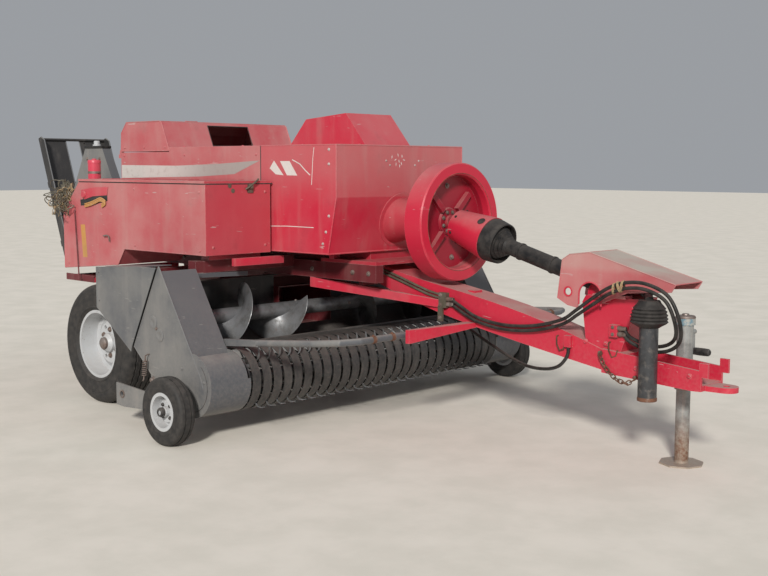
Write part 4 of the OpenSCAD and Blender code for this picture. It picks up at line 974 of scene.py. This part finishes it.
def make_twine_ties():
    """Twine wound round the two hoses, and the loose ends that hang at the rear of the right box."""
    ties = Parts("twine_ties", "twine")
    routes = [route_line(route)[:100] for route in (ROUTE_A, ROUTE_B)]
    for want in (3.155, 3.190, 3.214):
        goal = at(want, 0, 0).x
        a, b = (min([p for p in line if p.z > 0.8], key=lambda p: abs(p.x - goal)) for line in routes)
        middle = (a + b) / 2
        spread = (b - a).normalized()
        across = Vector((0, 1, 0))
        reach = (b - a).length / 2 + HOSE_R + 0.003
        for turn in range(3):
            shift = Vector((0.0045 * turn, 0, 0.0012 * turn))
            ties.tube([middle + shift + spread * reach * sin(t) + across * (HOSE_R + 0.004) * cos(t)
                for t in turns(20)], 0.0023, 6, closed=True)
    tangle = Parts("wire_tangle", "line_steel")
    for k in range(48):
        kind = tangle if k % 3 else ties
        outside = k % 2
        start = at(uniform(-0.50, -0.42) if outside else uniform(-0.70, -0.54),
            -1.042 if outside else uniform(-0.98, -0.90), uniform(1.20, 1.34))
        middle_of_tangle = at(-0.47, -1.05, 1.25) if outside else at(-0.61, -0.94, 1.27)
        line = [start]
        heading = Vector((uniform(-1, 1), uniform(-0.7, 0.7), uniform(0.1, 0.8))).normalized()
        for step in range(14):
            heading = (heading + Vector((uniform(-0.8, 0.8), uniform(-0.6, 0.6), uniform(-0.7, 0.6)))
                + (middle_of_tangle - line[-1]) * 4).normalized()
            place = line[-1] + heading * 0.022
            if outside:
                place.y = min(place.y, -1.036)
            else:
                place.x = min(place.x, at(-0.512, 0, 0).x)
            line.append(place)
        kind.tube(soften(line, 3), 0.0030 if kind is tangle else 0.0022, 6)
    tangle.tube(spots(-600, -950, 1270, -560, -900, 1235, -506, -840, 1215, -499, -820, 1210), 0.006)
    arm = Parts("twine_arm", "red_front")
    arm.prism(upright(-1.0306, -276.6, 1324.3, -98.5, 1345.9, 38.9, 1347.8, 25, 1296, -136.6, 1286.5, -232,
        1265.5), (0, -0.006, 0), 0.0015)
    arm.turned((-0.235, -1.036, 1.298), (0, -1, 0), mm(0, 0, 22, 0, 24, 3, 20, 12, 0, 13), 20)
    # A dark sheet below the arm: painted shade of the notch under it.
    shade = Parts("twine_arm_notch_shade", "dark_steel")
    shade.prism(upright(-1.0305, -290, 1262, -136.6, 1286.5, 25, 1296, 26, 1262, -130, 1235, -285, 1225),
        (0, -0.001, 0))
    yellow = Parts("yellow_twine", "amber_film")
    for drop in (0.0, 0.010, 0.018):
        line = spots(-224.5, -1038, 1236.8, -153.2, -1040, 1249.8, -93.9, -1041, 1264.9, -35.7, -1041,
            1278.6, 12, -1039, 1260, -30, -1038, 1240)
        yellow.tube(soften([(x, y, z - drop) for x, y, z in line], 5), 0.0048)
    rail = Parts("box_rail", "red_front")
    rail.bar((1.000, -0.830, 0.905), (1.030, -0.460, 0.950), 0.003)
    lip = Parts("auger_lip", "grey_panel")
    lip.prism(spots(930, -1045, 846, 930, -660, 836, 930, -660, 862, 930, -1045, 872), (0.003, 0, 0))


def soften(line, steps):
    """A smooth line through the points."""
    return smooth_route([placed(p) for p in line], steps)


def make_star_wheel():
    """Bale length star wheel with its arm, beside the rear of the right twine box."""
    wheel = Parts("star_wheel", "line_steel")
    middle = at(-1.235, -0.585, 1.305)
    wheel.turned(middle, (0, 1, 0), mm(0, -6, 52, -6, 54, -3, 54, 3, 52, 6, 0, 6), 32)
    wheel.turned(middle, (0, 1, 0), mm(0, -22, 16, -22, 18, -18, 18, 18, 16, 22, 0, 22), 20)
    for a in turns(12):
        out = Vector((cos(a), 0, sin(a)))
        side = Vector((-sin(a), 0, cos(a)))
        base = middle + out * 0.050 + Vector((0, -0.003, 0))
        wheel.prism([base + side * 0.011, base - side * 0.011, base + out * 0.030], (0, 0.006, 0), 0.0008)
    wheel.tube([middle + Vector((0, 0.022, 0)), middle + Vector((0, 0.10, 0.0)), (-1.235, -0.43, 1.300),
        (-1.235, -0.3462, 1.290)], 0.010, 10)
    wheel.tube(spots(-1235, -440, 1300, -1160, -460, 1265, -1060, -500, 1225, -930, -560, 1215, -800, -575,
        1215, -500, -575, 1205), 0.009, 10)
    for k in range(6):
        x = -1.13 + 0.055 * k
        wheel.tube([(x, -0.50 - 0.014 * k, 1.24 - 0.008 * k), (x + 0.010, -0.545 - 0.01 * k,
            1.205 - 0.012 * k), (x + 0.035, -0.56 - 0.012 * k, 1.17 - 0.016 * k),
            (x + 0.028, -0.59, 1.14 - 0.018 * k)], 0.0055)
    wheel.turned((-1.02, -0.545, 1.205), (0, 1, 0), mm(0, -20, 30, -20, 32, 0, 30, 20, 0, 20), 18)


def make_rear_trim():
    cap = Parts("tower_caps", "black_plastic")
    nut = Parts("tower_nuts", "rim_silver")
    bolts = Parts("tower_bolts", "bolt_steel")
    for s in SIDES:
        cap.bar((-1.362, s * 0.270, 1.6062), (-1.118, s * 0.352, 1.624), 0.006)
        cap.tube([(-1.35, s * 0.31, 1.616), (-1.392, s * 0.315, 1.622), (-1.41, s * 0.32, 1.640),
            (-1.405, s * 0.325, 1.652)], 0.006)
        nut.turned((-1.25, s * 0.31, 1.6242), (0, 0, 1), mm(0, 0, 30, 0, 30, 10, 22, 12, 22, 32, 16, 38, 0,
            38), 20)
        bolts.side_bolts(s, 0.3448, 0.010, -1330, 1530, -1160, 1530, -1460, 1220, -1020, 1220)
    tank = Parts("canister_trim", "canister_red")
    place = at(-0.492, -0.800, 1.249)
    tank.turned(place, (0, 0, 1), mm(41.8, 246, 43.5, 247, 43.5, 262, 39, 268, 14, 270, 14, 276, 0, 276),
        40)
    tank.turned(place, (0, 0, 1), mm(41.9, 0, 47, 0, 47, 6, 41.9, 10), 40)
    clamp = Parts("canister_clamps", "bolt_steel")
    for z in (0.07, 0.185):
        clamp.turned(place, (0, 0, 1), [(0.0418, z - 0.008), (0.0432, z - 0.008), (0.0432, z + 0.008),
            (0.0418, z + 0.008)], 40)
        clamp.bolt(place + Vector((0.044, 0, z)), (1, 0, 0), 0.006)
    hook = Parts("twine_hook", "twine")
    hook.tube(soften(spots(-440, -885, 1232, -400, -893, 1222, -340, -897, 1240, -300, -896, 1250, -260,
        -893, 1242, -235, -890, 1262, -250, -888, 1276), 5), 0.0055)


CHUTE_PIVOT = (-1.720, 0.750)
CHUTE_LEAN = radians(21)


def make_chute_trim():
    """Edge hems and bolts of the folded chute."""
    def spot(x, y, z):
        c, s = cos(CHUTE_LEAN), sin(CHUTE_LEAN)
        return at(CHUTE_PIVOT[0] + x * c - z * s, y, CHUTE_PIVOT[1] + x * s + z * c)
    trim = Parts("chute_hems", "grey_panel", "chute")
    bolts = Parts("chute_bolts", "bolt_steel", "chute")
    for s in SIDES:
        trim.tube([spot(0.035, s * 0.2925, 0.112), spot(0.035, s * 0.2925, 0.985),
            spot(-0.004, s * 0.2925, 1.024)], 0.0048)
        trim.tube([spot(-0.042, s * 0.061, 0.063), spot(-0.042, s * 0.061, 1.01)], HEM_R)
        for z in (0.16, 0.64):
            for y in (0.15, 0.25):
                bolts.bolt(spot(-0.0408, s * y, z), (cos(CHUTE_LEAN), 0, sin(CHUTE_LEAN)), 0.010)
        bolts.bolt(spot(0, s * 0.295, 0), (0, s, 0), 0.014)


# Pickup
PANEL_OUT = 1.334
REEL = (1.270, 0.310)
TINE_BAR = 0.105
BANDS = 28
PICKUP_HALF = 1.075


def make_pickup_trim():
    bolts = Parts("pickup_bolts", "bolt_steel", "pickup")
    seams = Parts("pickup_seams", "dark_steel", "pickup")
    ribs = Parts("pickup_hems", "grey_panel", "pickup")
    gap_shade = Parts("panel_gap_shade", "black_plastic", "pickup")
    face = PANEL_OUT - 0.012
    for s in SIDES:
        for x, z in mm(925, 618, 985, 552):
            ribs.turned((x, s * face, z), (0, s, 0), mm(0, 2, 12, 2, 16, 5, 30, 5, 36, 3, 37, 0, 0, 0), 32)
        bolts.bolt((0.957, s * face, 0.585), (0, s, 0), 0.008)
        for a in turns(3, 15):
            ribs.bolt((REEL[0] + 0.115 * cos(a), s * face, REEL[1] + 0.115 * sin(a)), (0, s, 0), 0.007)
        # A black strip along the panel's sloping edge: painted shade that closes the gap where the pale
        # floor would show.
        gap_shade.prism(upright(s * 1.3165, 976, 915, 730, 458, 690, 480, 936, 930), (0, s * 0.002, 0))
        # Hem along the sloping front edge, and the bead round the reel's end
        ribs.tube([(0.983, s * (face - 0.002), 0.929), (1.002, s * (face - 0.002), 0.906),
            (1.352, s * (face - 0.002), 0.361), (1.373, s * (face - 0.002), 0.308)], HEM_R)
        ribs.tube([(0.983, s * (face - 0.002), 0.929), (0.733, s * (face - 0.002), 0.463),
            (0.931, s * (face - 0.002), 0.297), (1.14, s * (face - 0.002), 0.236)], 0.004)
        seams.tube([(REEL[0] + 0.1415 * cos(radians(d)), s * (face + 0.0005),
            REEL[1] + 0.1415 * sin(radians(d))) for d in range(-140, 60, 8)], 0.0016, 6)
        # Stops at the foot of the flange
        for x, z in mm(1350, 372, 1372, 302):
            bolts.bar((x - 0.008, s * 1.19, z - 0.008), (x + 0.012, s * 1.245, z + 0.008), 0.002)
    # Arm hardware and the float spring
    for s in SIDES:
        side = SIDE_NAME[s]
        outer = s * (PANEL_OUT - 0.012 + 0.038 + 0.012)
        arm = Parts("arm_hardware_" + side, "bolt_steel", "pickup")
        for x, z in mm(1090, 280, 990, 310):
            arm.bolt((x, outer, z), (0, s, 0), 0.016)
        arm.turned((0.680, outer, 0.190), (0, s, 0), mm(16.5, -1, 24, -1, 24, 4, 16.5, 4), 24)
        arm.spring((0.872, s * 1.352, 0.315), (0.884, s * 1.352, 0.405), 0.012, 0.003, 8)
        arm.tube([(0.884, s * 1.352, 0.402), (0.886, s * 1.351, 0.430), (0.884, s * 1.336, 0.436),
            (0.884, s * 1.323, 0.436)], 0.004)
        arm.tube([(0.872, s * 1.352, 0.318), (0.870, s * 1.354, 0.296), (0.872, s * 1.362, 0.288)],
            THIN_HEM_R)
    coils = Parts("tine_coils", "dark_steel", "tine_reel")
    pitch = 2 * (PICKUP_HALF - 0.025) / BANDS
    for a in (45, 135, 225, 315):
        c, q = cos(radians(a)), sin(radians(a))
        x, z = REEL[0] + TINE_BAR * c, REEL[1] + TINE_BAR * q
        for i in range(1, BANDS):
            y = -BANDS * pitch / 2 + i * pitch
            coils.spring((x, y - 0.013, z), (x, y + 0.013, z), 0.0175, 0.0030, 3)


def make_guard_trim():
    """Bolts and hem of the grey rear panels, and clips on the wind guard."""
    for s in SIDES:
        side = SIDE_NAME[s]
        guard = Parts("guard_trim_" + side, "grey_panel")
        guard.side_bolts(s, PANEL_OUT, 0.006, 400, 865, 400, 700)
        hem = Parts("guard_hem_" + side, "grey_panel")
        hem.tube([(0.371, s * (PANEL_OUT - 0.003), 0.656), (0.371, s * (PANEL_OUT - 0.003), 0.890),
            (0.80, s * (PANEL_OUT - 0.003), 0.917), (0.969, s * (PANEL_OUT - 0.003), 0.920)], 0.004)
    clips = Parts("wind_guard_clips", "old_rust", "wind_guard")
    for i in range(-6, 6):
        y = (i + 0.5) * 0.140
        clips.turned((2.090, y, 0.588), (0, 1, 0), mm(18.2, -12, 20.5, -12, 20.5, 12, 18.2, 12), 20)
        clips.bolt((2.090, y, 0.6075), (0, 0, 1), 0.006)


AUGER = (0.860, 0.600)
FLIGHT_PITCH = 0.43
FLIGHT_START = 0.260
FLIGHT_RUN = 0.750
FLIGHT_PHASE = radians(31)
FLIGHT_STEPS = 150


def make_auger():
    """The cross auger with finely stepped flights, wound so that they lead inwards from the front."""
    auger = Parts("auger_flights", "worn_steel", "auger")
    middle = at(AUGER[0], 0, AUGER[1])
    auger.turned(middle, (0, 1, 0), mm(0, -1058, 25, -1058, 25, -1040, 45, -1040, 45, 1040, 25, 1040, 25,
        1058, 0, 1058), 48)
    steps = FLIGHT_STEPS
    rings = mm(40, 0, 80, 0, 120, 0, 160, 0, 183, 1.5, 185, 3.5, 183, 5.5, 160, 7, 120, 7, 80, 7, 40, 7)
    for s in SIDES:
        corners = []
        for i in range(steps + 1):
            run = FLIGHT_RUN * i / steps
            a = FLIGHT_PHASE - 2 * pi * run / FLIGHT_PITCH
            for radius, shift in rings:
                dent = 0.0016 * sin(a * 5.3 + 1) * (radius > 0.17)
                corners.append(middle + Vector(((radius + dent) * cos(a), s * (FLIGHT_START + run + shift),
                    (radius + dent) * sin(a))))
        auger.shape(corners, grid(steps + 1, len(rings), False) + caps(steps + 1, len(rings)))
    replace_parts(auger.done(35), "auger")


def make_auger_trim():
    """Bolts at the ends of the auger's tube."""
    bolts = Parts("auger_bolts", "bolt_steel", "auger")
    for s in SIDES:
        for a in turns(3):
            bolts.bolt((0.860 + 0.045 * cos(a), s * 0.20, 0.600 + 0.045 * sin(a)), (cos(a), 0, sin(a)),
                0.008)


def make_jack_trim():
    jack = Parts("jack_hardware", "bolt_steel")
    x, y = 3.355, 0.152
    jack.turned((x, y, 0.738), (0, 0, 1), mm(49, -2, 50.5, 2, 46, 10, 18, 14, 16, 20, 0, 21), 32)
    jack.turned((x, y, 0.382), (0, 0, 1), mm(41.2, -4, 44.5, -2, 44.5, 12, 41.2, 14), 32)
    for z in (0.50, 0.525):
        for dx in (-0.045, 0.045):
            jack.bolt((x + dx, 0.1255, z), (0, 1, 0), 0.009)
    knob = Parts("jack_knob", "black_plastic")
    knob.turned((3.348, 0.236, 0.562), (1, 0, 0), mm(15.1, 6, 18.5, 10, 19.5, 40, 19.5, 70, 18.5, 92, 12,
        100, 0, 101), 24)


def make_knotter_trim():
    """Gear teeth and bill hooks behind the hood's window."""
    parts = Parts("knotter_hardware", "old_rust")
    for y in (-0.085, 0.085):
        for a in turns(16):
            out = Vector((cos(a), 0, sin(a)))
            place = at(-0.300, y + 0.025, 1.502) + out * 0.070
            side = out.cross(Vector((0, 1, 0))) * 0.008
            parts.prism([place + side, place - side, place + out * 0.012], (0, 0.012, 0))
        parts.tube([(-0.24, y - 0.02, 1.56), (-0.215, y - 0.024, 1.575), (-0.19, y - 0.020, 1.570),
            (-0.175, y - 0.012, 1.552)], 0.007)


def make_frame_trim():
    bolts = Parts("frame_bolts", "bolt_steel")
    for s in SIDES:
        for x in (-1.10, -0.6, -0.2, 0.2, 0.62, 1.10, 1.45, 1.58):
            bolts.bolt((x, s * 0.2965, 0.865), (0, s, 0), 0.011)
        for x in (0.875, 0.915):
            bolts.bolt((x, s * 0.70, 0.9402), (0, 0, 1), 0.010)
        for x in (-0.06, 0.06):
            bolts.bolt((x, s * 0.2965, 0.47), (0, s, 0), 0.012)


FLOOR_HALF = 60


def make_stage():
    floor_paint = Paint("floor_paint")
    grain = floor_paint.ramp(floor_paint.noise(3, 6, 0.6), 0.3, 0.7)
    tone = floor_paint.mix(grain, (0.77, 0.73, 0.65), (0.85, 0.80, 0.72))
    floor_paint.finish(tone, 0.9, specular=0.1)
    mesh = bpy.data.meshes.new("floor")
    corners = [(x * FLOOR_HALF, y * FLOOR_HALF, 0) for x, y in ((-1, -1), (1, -1), (1, 1), (-1, 1))]
    mesh.from_pydata(corners, [], [(0, 1, 2, 3)])
    floor = new_object("floor", mesh)
    mesh.materials.append(floor_paint.material)


# Light: a soft low sun and a pale sky
SKY_COLOUR = (0.90, 0.94, 1.0, 1)
SKY_STRENGTH = 0.36
SUN_STRENGTH = 3.25
SUN_ANGLE = radians(7)
SUN_COLOUR = (1.0, 0.97, 0.92)
TOWARD_SUN = (0.535, -0.72, 0.44)


def make_light():
    world = bpy.data.worlds.new("world")
    bpy.context.scene.world = world
    world.use_nodes = True
    background = world.node_tree.nodes["Background"]
    background.inputs["Color"].default_value = SKY_COLOUR
    background.inputs["Strength"].default_value = SKY_STRENGTH
    data = bpy.data.lights.new("key", "SUN")
    data.energy = SUN_STRENGTH
    data.angle = SUN_ANGLE
    data.color = SUN_COLOUR
    key = new_object("key", data)
    key.rotation_euler = Vector(TOWARD_SUN).normalized().to_track_quat("Z", "Y").to_euler()


make_hoses()
dress_nodes()
make_tyres()
make_wheel_hardware()
make_stripes()
make_body_trim()
make_box_trim()
make_hood_trim()
make_drive_trim()
make_tongue_trim()
make_twine_ties()
make_star_wheel()
make_rear_trim()
make_chute_trim()
make_pickup_trim()
make_guard_trim()
make_auger()
make_auger_trim()
make_jack_trim()
make_knotter_trim()
make_frame_trim()
for parts in list(Parts.unfinished):
    parts.done()
make_stage()
make_light()
bpy.context.scene.view_settings.view_transform = "Standard"
